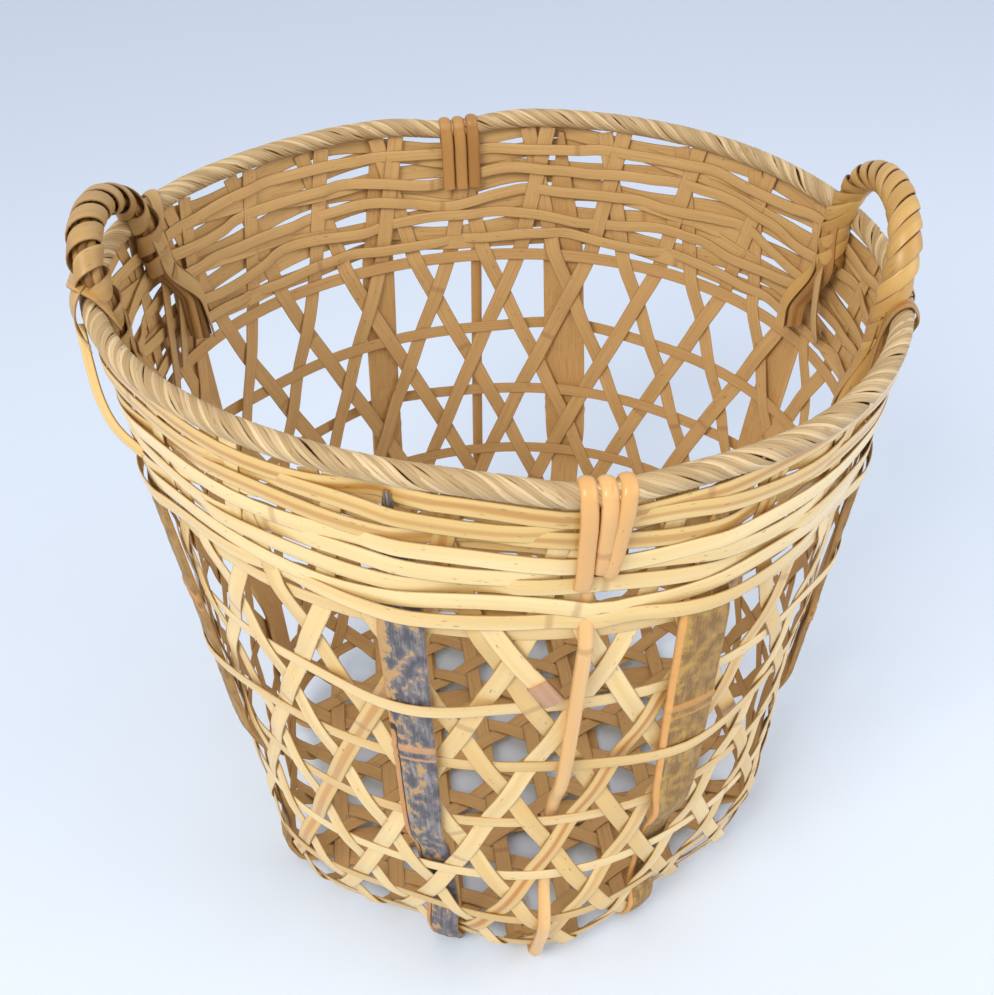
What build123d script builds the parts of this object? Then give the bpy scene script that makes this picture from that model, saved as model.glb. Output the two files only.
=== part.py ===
from build123d import *
import math
import os

# An open bamboo basket in hexagonal (kagome) weave, with a woven rim band, a twisted border, two loop
# handles, four bent bamboo slats that carry it and a lashing of round cane.
# Millimetres. +Z is up, the ground is z = 0 and the origin lies under the middle of the rim.

# ---------------------------------------------------------------- wall
rim_height = 397.0  # middle of the twisted border above the ground
rim_radius = 199.0
foot_flare = 25.0  # from the base's folds out to the wall's line carried down to the ground
wall_belly = 8.0  # how hollow the wall's upright line is
foot_tuck = 16.0  # how far the wall draws in at the ground
tuck_height = 80.0
foot_corner = 0.055  # share by which the foot's six corners stand out
corner_height = 130.0  # above this the wall is round
rim_oval = 0.04  # share by which the rim is wider from handle to handle
foot_shift_x = -11.0  # middle of the foot, seen from the middle of the rim
foot_shift_y = 6.0
rim_drop_right = 14.0  # the hand-made rim isn't level
rim_rise_back = 9.0
rim_wave = 4.5

# ---------------------------------------------------------------- weave
strip_width = 9.0
strip_thickness = 0.7
crossing_rise = 1.9  # how far a strip stands out or in where it crosses another
rows = 8  # strips in each of the three directions
row_spacing = 35.0  # across the strips, in the base
first_edge_angle = 3.5  # direction that the foot's first flat side faces
base_height = 9.8  # middle of the base weave
hoop_width = 8.0
foot_hoop_height = 25.0
hoop_shares = [0, 0.117, 0.278, 0.459, 0.637, 0.811, 1]  # of the height from the lowest hoop to the highest
hoop_band_gap = 2.0  # between the highest hoop and the rim band
stake_settle = 2.0  # how far inside the band a strip has come back to the wall's line

# ---------------------------------------------------------------- slats
slat_thickness = 3.5
slat_gap = 0.3  # between the two crossing layers under the base
slat_seat = 3.0  # from the wall's middle surface to a slat's inner face
slat_waist = 20.0  # width where a slat slips through a hexagon of the weave
slat_tip_drop = 9.0  # of the tips below the middle of the border
slat_tip_width = 3.0
slat_band_seat = 1.0  # the same seat inside the rim band
slat_band_thickness = 2.0
slat_band_width = 0.85  # share of its width where a slat enters the band
slat_widening = 10.0  # above the fourth hoop, where a slat has its full width again
slat_leave = 2.0  # above the highest hoop, where a slat starts to slip inside the band
slat_pass_run = 11.0  # half the height over which a slat changes sides by the foot
slat_upper_run = 13.0  # the same at the second hexagon
slat_turn_out = 2.0
slat_heel_out = 12.0
slat_heel_height = 9.0
# name: (angle at the foot, angle at the tip, hoop that holds it) of both legs, width, layer under the base
slats = {
    "slat_left": ((251.0, 252.0, 5), (116.0, 111.0, 4), 22.0, 0),
    "slat_right": ((296.0, 295.0, 4), (71.0, 74.0, 5), 28.0, 0),
    "slat_front": ((206.0, 202.0, 4), (341.0, 337.0, 5), 24.0, 1),
    "slat_back": ((161.0, 157.0, 5), (26.0, 19.0, 4), 24.0, 1),
}

# ---------------------------------------------------------------- rim band and border
band_rows = 8
band_pitch = 9.9
band_strip_width = 9.3
band_rise = 1.45  # how far a band strip stands out over an upright
band_dip = 1.65  # how far it stands in where it passes inside one
stakes_per_stitch = 6  # it passes outside five uprights and inside the sixth
stitch_step = 4  # uprights from one row's inside pass to the next row's
border_radius = 5.8
border_core = 0.35
border_shoulder = 0.8  # share of the radius at a strand's shoulders
border_spread = 0.66  # share of its wedge that a strand fills
border_strands = 2
border_turns = 12
border_steps = 72
border_start = 276.0

# ---------------------------------------------------------------- handles
handle_angles = {"left": 177.5, "right": 0.0}
handle_half_angle = 16.5
handle_rise = {"left": 36.0, "right": 46.0}  # top of the core above the border
handle_lean = 12.0  # how far the top leans outwards
handle_core_radius = 8.0
handle_foot_rise = 10.0  # of a handle's feet above the bottom of the band
handle_bend_rise = 50.0  # above the bottom of the band, where a leg starts to bend in
handle_neck_drop = 2.0  # below the middle of the border, where the arch starts
handle_fullness = 0.8  # the lower, the squarer the arch
handle_arch_steps = 8
wrap_width = 12.0
wrap_thickness = 1.2
wrap_turns = 7
wrap_steps = 56
wrap_start = 0.12
wrap_play = 1.4
lashing_width = 9.0
lashing_side = 5.6  # angle from a handle's near leg to the strip that ties it, under the arch
lashing_ends = 44.0  # length of its ends below the middle of the border
rod_sides = 6

# ---------------------------------------------------------------- cane lashing
cane_radius = 3.6
cane_angles = {"front": (275.0, 277.6, 280.2), "back": (91.4, 94.0, 96.6)}
cane_wrap_rise = 37.0  # of the wraps' ends above the bottom of the band
cane_shoulder_drop = 16.0  # below the middle of the border, where a wrap leaves it
cane_tail_drop = 4.0  # of the tail's top below the band
cane_lead = 10.0  # from a hoop to where the tail has changed sides
cane_inside_room = 1.0
cane_tail_swing = 1.3
cane_foot_rise = 6.0
cane_foot_angle = 273.5
cane_heel_out = 9.0
cane_heel_rise = 5.0
cane_turn_in = 6.0
cane_foot_reach = 34.0
cane_ground_gap = 0.2

families = 3
clearance = 0.1
fold_lift = 1.0
hold_slack = 1.3
hold_margin = 1.5
hold_release = 6.0
bulge_start = 1.6
crossing_cover = 8.0  # half the length of a hoop that a strip's crossing covers
end_gap_angle = 0.15

# ---------------------------------------------------------------- sizes that follow from these
full_turn = 360.0
side_angle = full_turn / (2 * families)
pitch_angle = full_turn / (families * rows)
base_half = rows / 2 * row_spacing  # from the middle of the base to its folds
foot_radius = base_half + foot_flare
band_bottom = rim_height - border_radius - band_rows * band_pitch
top_hoop_height = band_bottom - hoop_band_gap - hoop_width / 2
hoop_heights = [foot_hoop_height + (top_hoop_height - foot_hoop_height) * share for share in hoop_shares]
foot_stop_height = foot_hoop_height - hoop_width / 2 - fold_lift
stake_top = rim_height - border_radius - clearance
slat_tip_height = rim_height - slat_tip_drop
slat_pass_height = (hoop_heights[2] + hoop_heights[3]) / 2
foot_pass_height = (hoop_heights[0] + hoop_heights[1]) / 2
slat_leave_height = top_hoop_height + slat_leave
slat_settle_height = band_bottom + band_pitch
slat_hold = slat_seat + slat_thickness + clearance + strip_thickness / 2 + hold_slack
band_hold = slat_band_seat + slat_band_thickness + 3 * clearance + strip_thickness / 2
band_step_in = slat_seat + slat_thickness - slat_band_seat - slat_band_thickness
cane_wrap_end = band_bottom + cane_wrap_rise


# ---------------------------------------------------------------- where things lie
def polar(angle):
    """Unit vector in plan at an angle in degrees."""
    return Vector(math.cos(math.radians(angle)), math.sin(math.radians(angle)), 0)


def axis_point(height):
    """Middle of the basket at a height: it leans a little."""
    return Vector(foot_shift_x, foot_shift_y, 0) * (1 - height / rim_height)


def wall_point(angle, height):
    """Point on the wall's middle surface."""
    share = height / rim_height
    radius = foot_radius + (rim_radius - foot_radius) * share + wall_belly * share * (share - 1)
    radius -= foot_tuck * max(0, 1 - height / tuck_height) ** 2
    corner = foot_corner * max(0, 1 - height / corner_height)
    corner_turn = math.radians(2 * families * (angle - first_edge_angle - side_angle / 2))
    radius *= 1 + corner * math.cos(corner_turn)
    radius *= 1 + rim_oval * share * math.cos(math.radians(2 * angle))
    wave = -rim_drop_right * math.cos(math.radians(angle)) + rim_rise_back * math.sin(math.radians(angle))
    wave += rim_wave * math.sin(math.radians(2 * angle))
    return axis_point(height) + polar(angle) * radius + Vector(0, 0, height + share * wave)


def wall_normal(angle, height):
    """Outward unit normal of the wall."""
    step = 0.5
    around = wall_point(angle + step, height) - wall_point(angle - step, height)
    upward = wall_point(angle, height + step) - wall_point(angle, height - step)
    return around.cross(upward).normalized()


def on_wall(angle, height, offset=0.0):
    """A stop on a path: a point, the outward normal there, and how far the strip stands out."""
    return wall_point(angle, height), wall_normal(angle, height), offset


def section_planes(stops):
    """Planes square to a path through its stops, with local y pointing out of the basket."""
    planes = []
    for i, (point, normal, offset) in enumerate(stops):
        before = stops[max(i - 1, 0)][0]
        after = stops[min(i + 1, len(stops) - 1)][0]
        along = after - before
        along = (along - normal * along.dot(normal)).normalized()
        planes.append(Plane(origin=point + normal * offset, x_dir=normal.cross(along), z_dir=along))
    return planes


def faceted(rings, flat=False):
    """A closed solid of flat facets through rings of points, for strips that turn and twist as they go."""
    faces = []
    for near, far in zip(rings, rings[1:]):
        for i in range(len(near)):
            j = (i + 1) % len(near)
            if flat and 2 * i >= len(near):  # both faces of a strip are cut alike, so it twists at one thickness
                corners = ([near[i], near[j], far[i]], [near[j], far[j], far[i]])
            else:
                corners = ([near[i], near[j], far[j]], [near[i], far[j], far[i]])
            for triangle in corners:
                faces.append(Face(Wire.make_polygon(triangle, close=True)))
    for ring in (rings[0], rings[-1]):
        faces.append(Face(Wire.make_polygon(ring, close=True)))
    solid = Solid(Shell(faces))
    with BuildPart() as piece:
        add(solid)
    return piece


def ribbon(stops, widths, thicknesses):
    """A flat strip through its stops."""
    rings = []
    for plane, width, thickness in zip(section_planes(stops), widths, thicknesses):
        wide = plane.x_dir * (width / 2)
        thick = plane.y_dir * (thickness / 2)
        middle = plane.origin
        rings.append([middle - wide - thick, middle + wide - thick, middle + wide + thick, middle - wide + thick])
    return faceted(rings, flat=True)


def plain_ribbon(stops, width, thickness):
    """A flat strip of one width and thickness."""
    return ribbon(stops, [width] * len(stops), [thickness] * len(stops))


def write(piece, name):
    """Label a finished piece and write it."""
    piece.part.label = name
    export_step(piece.part, f"parts/{name}.step")


# ---------------------------------------------------------------- hoops
def turned(angle, other):
    """Signed difference of two angles, within half a turn."""
    return (angle - other + full_turn / 2) % full_turn - full_turn / 2


def leg_angle(leg, height):
    """Angle of a slat's leg at a height: it leans a little above the hexagon that it slips through."""
    foot, tip, _ = leg
    share = max(0, (height - slat_pass_height) / (slat_tip_height - slat_pass_height))
    return foot + turned(tip, foot) * share


def slat_legs():
    """Every leg with its slat's width."""
    return [(leg, width) for first, second, width, _ in slats.values() for leg in (first, second)]


def reach_at(angle, height):
    """Distance of the wall from the basket's middle, in plan."""
    return (wall_point(angle, height) - axis_point(height)).dot(polar(angle))


def at_foot(level):
    """Whether a hoop lies where the foot's six corners bend it more."""
    return hoop_heights[level] < tuck_height


def hoop_stops(level):
    """Angles and offsets of a hoop's bends: one between each pair of crossings, and a bulge over each slat it holds."""
    height = hoop_heights[level]
    first = first_edge_angle + pitch_angle / 2 * level
    if at_foot(level):  # a straight run for each crossing
        count = 2 * families * rows
        lift = 1 / math.cos(math.radians(pitch_angle / 4)) - 1
    else:  # a straight run for two crossings, which it meets on the wall's surface
        count = families * rows
        lift = math.cos(math.radians(pitch_angle / 4)) / math.cos(math.radians(pitch_angle / 2)) - 1
    bends = [first + full_turn / count * k for k in range(count)]
    stops = [(a, reach_at(a, height) * lift) for a in bends]
    for leg, width in slat_legs():
        if leg[2] == level:
            middle = leg_angle(leg, height)
            half = math.degrees((width / 2 + hold_margin) / reach_at(middle, height))
            stops = [s for s in stops if abs(turned(s[0], middle)) > half + hold_release]
            stops += [(middle - half, slat_hold), (middle + half, slat_hold)]
    return sorted((a % full_turn, out) for a, out in stops)


def hoop_offset(level, angle):
    """How far a hoop really stands out at an angle, along its straight runs."""
    stops = hoop_stops(level)
    stops = [(stops[-1][0] - full_turn, stops[-1][1])] + stops + [(stops[0][0] + full_turn, stops[0][1])]
    height = hoop_heights[level]
    angle %= full_turn
    for (a, out_a), (b, out_b) in zip(stops, stops[1:]):
        if a <= angle <= b:
            near = polar(a) * (reach_at(a, height) + out_a)
            far = polar(b) * (reach_at(b, height) + out_b)
            across = polar(angle + 90)
            share = near.dot(across) / (near - far).dot(across)
            return (near + (far - near) * share).length - reach_at(angle, height)


def hoop(level):
    """A strip bent into a ring, its ends meeting with a small gap."""
    bends = hoop_stops(level)
    start, out = bends[0]
    bends = [(start + end_gap_angle, out)] + bends[1:] + [(start + full_turn - end_gap_angle, out)]
    stops = [on_wall(a, hoop_heights[level], out) for a, out in bends]
    return plain_ribbon(stops, hoop_width, strip_thickness)


# ---------------------------------------------------------------- woven strips
def strip_offset(row):
    """Distance of a strip from the middle of the base."""
    return (row - (rows - 1) / 2) * row_spacing


def strip_reach(offset):
    """Distance along a strip from its middle to the fold at the foot."""
    slope = math.radians(side_angle)
    return (base_half - abs(offset) * math.cos(slope)) / math.sin(slope)


def base_stops(family, row):
    """Crossings of one strip with the other two directions, across the base."""
    square = first_edge_angle + side_angle * family
    offset = strip_offset(row)
    slope = math.radians(side_angle)
    crossings = []
    for other in range(rows):
        travel = (strip_offset(other) - offset * math.cos(slope)) / math.sin(slope)
        crossings.append((travel, -crossing_rise))
        crossings.append((-travel, crossing_rise))
    middle = axis_point(base_height) + Vector(0, 0, base_height)
    stops = []
    for travel, rise in sorted(crossings):
        if abs(travel) < strip_reach(offset) - row_spacing / 4:
            place = polar(square) * offset + polar(square + 90) * travel
            stops.append((middle + place, Vector(0, 0, -1), rise))
    return stops


def leg_stops(family, row, end):
    """Stops of one strip from the fold at the foot up the wall to the border. end is +1 or -1."""
    square = first_edge_angle + side_angle * family
    offset = strip_offset(row)
    lean = end if offset > 0 else -end  # +1 climbs towards larger angles
    side = square + end * (90 - lean * end * side_angle / 2)
    place = polar(square) * offset + polar(square + 90) * (end * strip_reach(offset))
    sideways = place.dot(polar(side + 90))
    start = side + sideways * math.sin(math.radians(side_angle)) / row_spacing * pitch_angle
    fold_normal = (polar(start) - Vector(0, 0, 1)).normalized()
    fold = axis_point(base_height) + place + Vector(0, 0, base_height + fold_lift)
    stops = [(fold, fold_normal, lean * crossing_rise)]
    for level, height in enumerate(hoop_heights):
        angle = start + lean * (level + 0.5) * pitch_angle / 2
        cover = math.degrees(crossing_cover / reach_at(angle, height))
        hoop_out = [hoop_offset(level, angle + step) for step in (-cover, 0, cover)]
        if lean > 0:
            rise = min(0, hoop_out[1]) - crossing_rise
        elif max(hoop_out) < bulge_start:
            rise = hoop_out[1] + crossing_rise
        else:
            rise = min(crossing_rise, min(hoop_out) - crossing_rise)  # here the hoop is held off by a slat
        facet = angle if at_foot(level) else start + lean * level * pitch_angle / 2  # middle of its straight run
        if level == 0:  # the strip is already against the wall below the first hoop
            share = (foot_stop_height - fold.Z) / (height - fold.Z)
            stops.append(on_wall(start + (angle - start) * share, foot_stop_height, rise))
        stops.append((wall_point(angle, height), wall_normal(facet, height), rise))
        if level + 1 < len(hoop_heights):
            between = (height + hoop_heights[level + 1]) / 2
            stops.append(on_wall(start + lean * (level + 1) * pitch_angle / 2, between, lean * crossing_rise))
    stops.append(on_wall(angle, band_bottom + stake_settle))
    stops.append(on_wall(angle, stake_top))
    return stops


def weave_strip(family, row):
    """One strip: up one wall, across the base and up the far wall, over and under all it meets."""
    first = leg_stops(family, row, -1)
    second = leg_stops(family, row, 1)
    return plain_ribbon(first[::-1] + base_stops(family, row) + second, strip_width, strip_thickness)


# ---------------------------------------------------------------- slats
def fold_radius(angle):
    """Distance from the middle to the fold of the six-sided base."""
    off_square = (angle - first_edge_angle + side_angle / 2) % side_angle - side_angle / 2
    return base_half / math.cos(math.radians(off_square))


def slat_leg(leg, width, depth):
    """Stops, widths and thicknesses of a slat from its run under the base to its pointed tip."""
    foot = leg[0]
    middle = axis_point(base_height)
    outside = slat_seat + slat_thickness / 2
    in_band = slat_band_seat + slat_band_thickness / 2
    heel_normal = (polar(foot) - Vector(0, 0, 1)).normalized()
    under = middle + polar(foot) * (fold_radius(foot) + slat_turn_out)
    heel = middle + polar(foot) * (fold_radius(foot) + slat_heel_out)
    rows_of_leg = [
        ((Vector(under.X, under.Y, depth), Vector(0, 0, -1), 0.0), slat_waist, slat_thickness),
        ((Vector(heel.X, heel.Y, slat_heel_height), heel_normal, 0.0), slat_waist, slat_thickness),
    ]
    stations = [
        (foot_pass_height - slat_pass_run, outside, slat_waist, slat_thickness),
        (foot_pass_height + slat_pass_run, -outside, slat_waist, slat_thickness),
        (slat_pass_height - slat_upper_run, -outside, slat_waist, slat_thickness),
        (slat_pass_height + slat_upper_run, outside, slat_waist, slat_thickness),
        (hoop_heights[3] + slat_widening, outside, width, slat_thickness),
        ((hoop_heights[4] + hoop_heights[5]) / 2, outside, width, slat_thickness),
        (slat_leave_height, outside, width, slat_thickness),
        (slat_settle_height, in_band, width * slat_band_width, slat_band_thickness),
        (slat_tip_height, in_band, slat_tip_width, slat_band_thickness),
    ]
    for height, offset, wide, thick in stations:
        rows_of_leg.append((on_wall(leg_angle(leg, height), height, offset), wide, thick))
    return rows_of_leg


def slat(first, second, width, layer):
    """A split bamboo slat: a pointed leg, a run under the base and another pointed leg."""
    depth = slat_thickness / 2 + layer * (slat_thickness + slat_gap)
    chain = slat_leg(first, width, depth)[::-1] + slat_leg(second, width, depth)
    stops, widths, thicknesses = zip(*chain)
    return ribbon(stops, widths, thicknesses)


# ---------------------------------------------------------------- rim band
def band_bends(row):
    """Angles and offsets of one band strip before its straight runs are allowed for."""
    height = band_bottom + band_pitch * (row + 0.5)
    stakes = 2 * families * rows
    spacing = full_turn / stakes
    lower_edge = height - band_strip_width / 2
    entering = max(0, (slat_settle_height - lower_edge) / (slat_settle_height - slat_leave_height))
    hold = band_hold + band_step_in * min(1, entering)
    bends = []
    holds = []
    for leg, width in slat_legs():
        middle = leg_angle(leg, height)
        taper = (slat_tip_height - height) / (slat_tip_height - slat_settle_height)
        wide = slat_tip_width + (width * slat_band_width - slat_tip_width) * min(1, max(0, taper))
        half = math.degrees((wide / 2 + hold_margin) / reach_at(middle, height))
        holds.append((middle, half))
        bends += [(middle - half, hold), (middle + half, hold)]
    for k in range(stakes):
        angle = first_edge_angle + pitch_angle / 4 + spacing * k
        nearest = min(abs(turned(angle, middle)) - half for middle, half in holds)
        phase = (k + stitch_step * row) % stakes_per_stitch
        if nearest < spacing / 3:
            continue
        if phase == 0 and nearest > spacing:
            bends.append((angle, -band_dip))
        elif phase % 2 == 1 or phase == 0:
            bends.append((angle, band_rise))
    return height, sorted((a % full_turn, out) for a, out in bends)


def band_strip(row):
    """One strip of the band, outside most uprights and inside every sixth."""
    height, bends = band_bends(row)
    lifted = []
    for i, (angle, out) in enumerate(bends):
        before, out_before = bends[i - 1]
        after, out_after = bends[(i + 1) % len(bends)]
        spans = [abs(turned(a, angle)) for a, o in ((before, out_before), (after, out_after)) if o > 0]
        if out > 0 and spans:
            out += reach_at(angle, height) * (1 - math.cos(math.radians(max(spans) / 2)))
        lifted.append((angle, out))
    start, out = lifted[0]
    lifted = [(start + end_gap_angle, out)] + lifted[1:] + [(start + full_turn - end_gap_angle, out)]
    return plain_ribbon([on_wall(a, height, o) for a, o in lifted], band_strip_width, strip_thickness)


# ---------------------------------------------------------------- border
def ring_points(plane, outline, turn):
    """Points of an outline, turned about a plane's own axis and placed on the plane."""
    points = []
    for radius, angle in outline:
        place = math.radians(angle + turn)
        points.append(plane.origin + plane.x_dir * (radius * math.cos(place)) + plane.y_dir * (radius * math.sin(place)))
    return points


def border_strand(strand):
    """One strand of the twisted border, three quarters of a wedge in section."""
    spread = border_spread * full_turn / 2 / border_strands
    shoulder = border_radius * border_shoulder
    outline = [(border_core, 0), (shoulder, spread), (border_radius, 0), (shoulder, -spread)]
    rings = []
    for k in range(border_steps + 1):
        share = k / border_steps
        angle = border_start + end_gap_angle + (full_turn - 2 * end_gap_angle) * share
        plane = Plane(
            origin=wall_point(angle, rim_height),
            x_dir=wall_normal(angle, rim_height),
            z_dir=(wall_point(angle + 1, rim_height) - wall_point(angle - 1, rim_height)).normalized(),
        )
        turn = full_turn * (border_turns * share + strand / border_strands)
        rings.append(ring_points(plane, outline, turn))
    return faceted(rings)


# ---------------------------------------------------------------- handles
def off_wall(angle, bends):
    """Points at an angle, each at its height and its distance from the wall."""
    return [wall_point(angle, height) + wall_normal(angle, height) * offset for height, offset in bends]


def handle_path(side):
    """Middle line of a handle, from one foot inside the band over the arch to the other."""
    middle = handle_angles[side]
    outward = polar(middle)
    radius = handle_core_radius + wrap_thickness + 2 * clearance
    inside = -(band_dip + strip_thickness / 2 + clearance * 3 + radius)
    neck = -(border_radius + clearance * 3 + radius)
    bends = [(band_bottom + handle_foot_rise, inside), (band_bottom + handle_bend_rise, inside),
             (rim_height - handle_neck_drop, neck)]
    left = off_wall(middle - handle_half_angle, bends)
    right = off_wall(middle + handle_half_angle, bends)
    arch = []
    start, stop = left[-1], right[-1]
    for k in range(1, handle_arch_steps):
        turn = math.pi * k / handle_arch_steps
        along = (1 - math.cos(turn)) / 2
        rise = math.sin(turn) ** handle_fullness
        point = start + (stop - start) * along
        arch.append(point + Vector(0, 0, handle_rise[side] * rise) + outward * (handle_lean * rise))
    return left + arch + right[::-1]


def path_planes(points, outward):
    """Planes square to a line of points, with local x kept near one direction."""
    planes = []
    for i, point in enumerate(points):
        along = (points[min(i + 1, len(points) - 1)] - points[max(i - 1, 0)]).normalized()
        planes.append(Plane(origin=point, x_dir=(outward - along * outward.dot(along)).normalized(), z_dir=along))
    return planes


def rod(points, outward, radius):
    """A rod through a line of points."""
    outline = [(radius, full_turn * k / rod_sides) for k in range(rod_sides)]
    return faceted([ring_points(plane, outline, 0) for plane in path_planes(points, outward)])


def point_along(points, share):
    """Point at a share of the length of a line of points, and the index of its run."""
    lengths = [(b - a).length for a, b in zip(points, points[1:])]
    left = share * sum(lengths)
    for i, length in enumerate(lengths):
        if left <= length or i + 1 == len(lengths):
            return points[i] + (points[i + 1] - points[i]) * min(1, left / length)
        left -= length


def handle_wrap(side):
    """The flat strip wound round a handle's core."""
    outward = polar(handle_angles[side])
    path = handle_path(side)
    rings = []
    inner = handle_core_radius / math.cos(math.pi * wrap_turns / wrap_steps) + wrap_play
    outer = inner + wrap_thickness
    centres = []
    for k in range(wrap_steps + 1):
        share = wrap_start + (1 - 2 * wrap_start) * k / wrap_steps
        centres.append(point_along(path, share))
    for k, plane in enumerate(path_planes(centres, outward)):
        turn = math.radians(full_turn * wrap_turns * k / wrap_steps)
        out = plane.x_dir * math.cos(turn) + plane.y_dir * math.sin(turn)
        wide = plane.z_dir * (wrap_width / 2)
        centre = plane.origin
        rings.append([centre + out * inner - wide, centre + out * outer - wide,
                      centre + out * outer + wide, centre + out * inner + wide])
    return faceted(rings, flat=True)


def over_border(angle, depth, end_height, shoulder_height):
    """Points and outward directions of a turn of this depth over the border, from inside the band to outside it."""
    inner = -(band_dip + strip_thickness / 2 + depth / 2 + clearance)
    crest = border_radius + depth / 2 + clearance
    outer = band_outside + depth / 2 + clearance
    up = Vector(0, 0, 1)
    rim = wall_normal(angle, rim_height)
    inside = off_wall(angle, [(end_height, inner), (shoulder_height, inner), (rim_height, -crest)])
    stops = [(point, -rim) for point in inside]
    for turn in (45, 90, 135):
        around = rim * -math.cos(math.radians(turn)) + up * math.sin(math.radians(turn))
        stops.append((wall_point(angle, rim_height) + around * crest, around))
    outside = off_wall(angle, [(rim_height, crest), (shoulder_height, outer), (end_height, outer)])
    return stops + [(point, rim) for point in outside]


def handle_lashing(side):
    """The flat strip that ties a handle's near leg over the border."""
    towards_front = turned(full_turn * 3 / 4, handle_angles[side]) / abs(turned(full_turn * 3 / 4, handle_angles[side]))
    angle = handle_angles[side] + towards_front * (handle_half_angle - lashing_side)
    turn = over_border(angle, wrap_thickness, rim_height - lashing_ends, rim_height - cane_shoulder_drop)
    return plain_ribbon([(point, out, 0.0) for point, out in turn], lashing_width, wrap_thickness)


# ---------------------------------------------------------------- cane lashing
def cane_wrap(angle):
    """A turn of round cane over the border, from inside the band to outside it."""
    turn = over_border(angle, 2 * cane_radius, cane_wrap_end, rim_height - cane_shoulder_drop)
    return rod([point for point, _ in turn], polar(angle + full_turn / 4), cane_radius)


def cane_tail(side):
    """The lashing's long end, down the wall and round the foot."""
    outside = crossing_rise + strip_thickness / 2 + cane_radius + 3 * clearance
    inside = -outside - cane_inside_room
    front = side == "front"
    top_angle = cane_angles[side][0]
    foot_angle = cane_foot_angle if front else cane_foot_angle - full_turn / 2
    top = band_bottom - cane_tail_drop
    stations = [(top, outside), (hoop_heights[5], outside), (hoop_heights[4] - cane_lead, outside)]
    if front:  # it slips behind two hoops
        stations += [(hoop_heights[3] + cane_lead, inside), (slat_pass_height, inside),
                     (hoop_heights[2] - cane_lead, inside), (hoop_heights[1] + cane_lead, outside)]
    stations += [(hoop_heights[1], outside), (foot_hoop_height + cane_foot_rise, outside)]
    points = []
    for height, offset in stations:
        share = (top - height) / (top - foot_hoop_height)
        angle = top_angle + (foot_angle - top_angle) * min(1, share * cane_tail_swing)
        points += off_wall(angle, [(height, offset)])
    bends = [(cane_heel_out, cane_heel_rise), (-cane_turn_in, cane_ground_gap), (-cane_foot_reach, cane_ground_gap)]
    for out, rise in bends:
        place = axis_point(base_height) + polar(foot_angle) * (fold_radius(foot_angle) + out)
        points.append(Vector(place.X, place.Y, cane_radius + rise))
    return rod(points, polar(foot_angle + full_turn / 4), cane_radius)


# how far the outermost band strip stands out, between two uprights
band_bow = reach_at(0, rim_height) * (1 - math.cos(math.radians(pitch_angle / 2)))
band_outside = band_rise + band_bow + strip_thickness / 2

if __name__ == "__main__":
    os.makedirs("parts", exist_ok=True)
    for family in range(families):
        for row in range(rows):
            write(weave_strip(family, row), f"strip_{'abc'[family]}_{row + 1}")
    for level in range(len(hoop_heights)):
        write(hoop(level), f"hoop_{level + 1}")
    for name, (first, second, width, layer) in slats.items():
        write(slat(first, second, width, layer), name)
    for row in range(band_rows):
        write(band_strip(row), f"band_strip_{row + 1}")
    for strand in range(border_strands):
        write(border_strand(strand), f"border_strand_{strand + 1}")
    for side in handle_angles:
        write(rod(handle_path(side), polar(handle_angles[side]), handle_core_radius), f"handle_core_{side}")
        write(handle_wrap(side), f"handle_wrap_{side}")
        write(handle_lashing(side), f"handle_lashing_{side}")
    for side, angles in cane_angles.items():
        for k, angle in enumerate(angles):
            write(cane_wrap(angle), f"cane_wrap_{side}_{k + 1}")
        write(cane_tail(side), f"cane_tail_{side}")
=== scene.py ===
# %% [markdown]
# # An open bamboo basket, piece by piece
# The shape of the basket is settled before this script starts: every strip, hoop and rod already exists as a
# plain solid. The script loads those solids as a fixed frame and dresses each one, so that flat facets become
# springy split bamboo, a twisted border, bark and cane. Everything is in metres and keeps its place.

# %% Load the frame
import math
from itertools import combinations

import bmesh
import bpy
import numpy as np
from mathutils import Matrix, Vector


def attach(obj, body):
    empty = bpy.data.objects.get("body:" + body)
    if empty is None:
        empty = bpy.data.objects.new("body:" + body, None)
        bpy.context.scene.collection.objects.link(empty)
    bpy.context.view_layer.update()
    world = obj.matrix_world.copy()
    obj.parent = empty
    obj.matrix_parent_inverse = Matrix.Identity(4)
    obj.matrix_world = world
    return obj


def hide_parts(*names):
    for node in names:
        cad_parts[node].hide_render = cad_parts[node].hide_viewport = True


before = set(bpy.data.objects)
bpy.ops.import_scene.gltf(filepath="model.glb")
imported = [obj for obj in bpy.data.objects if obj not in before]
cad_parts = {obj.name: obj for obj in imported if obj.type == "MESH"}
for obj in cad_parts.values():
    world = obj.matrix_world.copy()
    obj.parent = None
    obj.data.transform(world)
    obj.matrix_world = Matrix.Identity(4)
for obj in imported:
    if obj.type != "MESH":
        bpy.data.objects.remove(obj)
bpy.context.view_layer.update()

MM = 0.001

# %% [markdown]
# ## The camera
# The camera comes first, so that every later step is judged from the same seat. It could be aimed by a
# constraint that tracks the basket, but then it would move whenever the basket did. Here its place and
# direction are plain numbers: where it stands, how far it looks down, how far it turns and how far it tilts.

# %% Place the camera
CAMERA_PLACE = Vector((-27.8, -580.6, 673.9)) * MM
PITCH, YAW, ROLL = 0.640, 0.032, -0.060  # radians: down from level, turned to the right, tilted
FOCAL_PIXELS = 1201.3
IMAGE_WIDTH = 994

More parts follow.
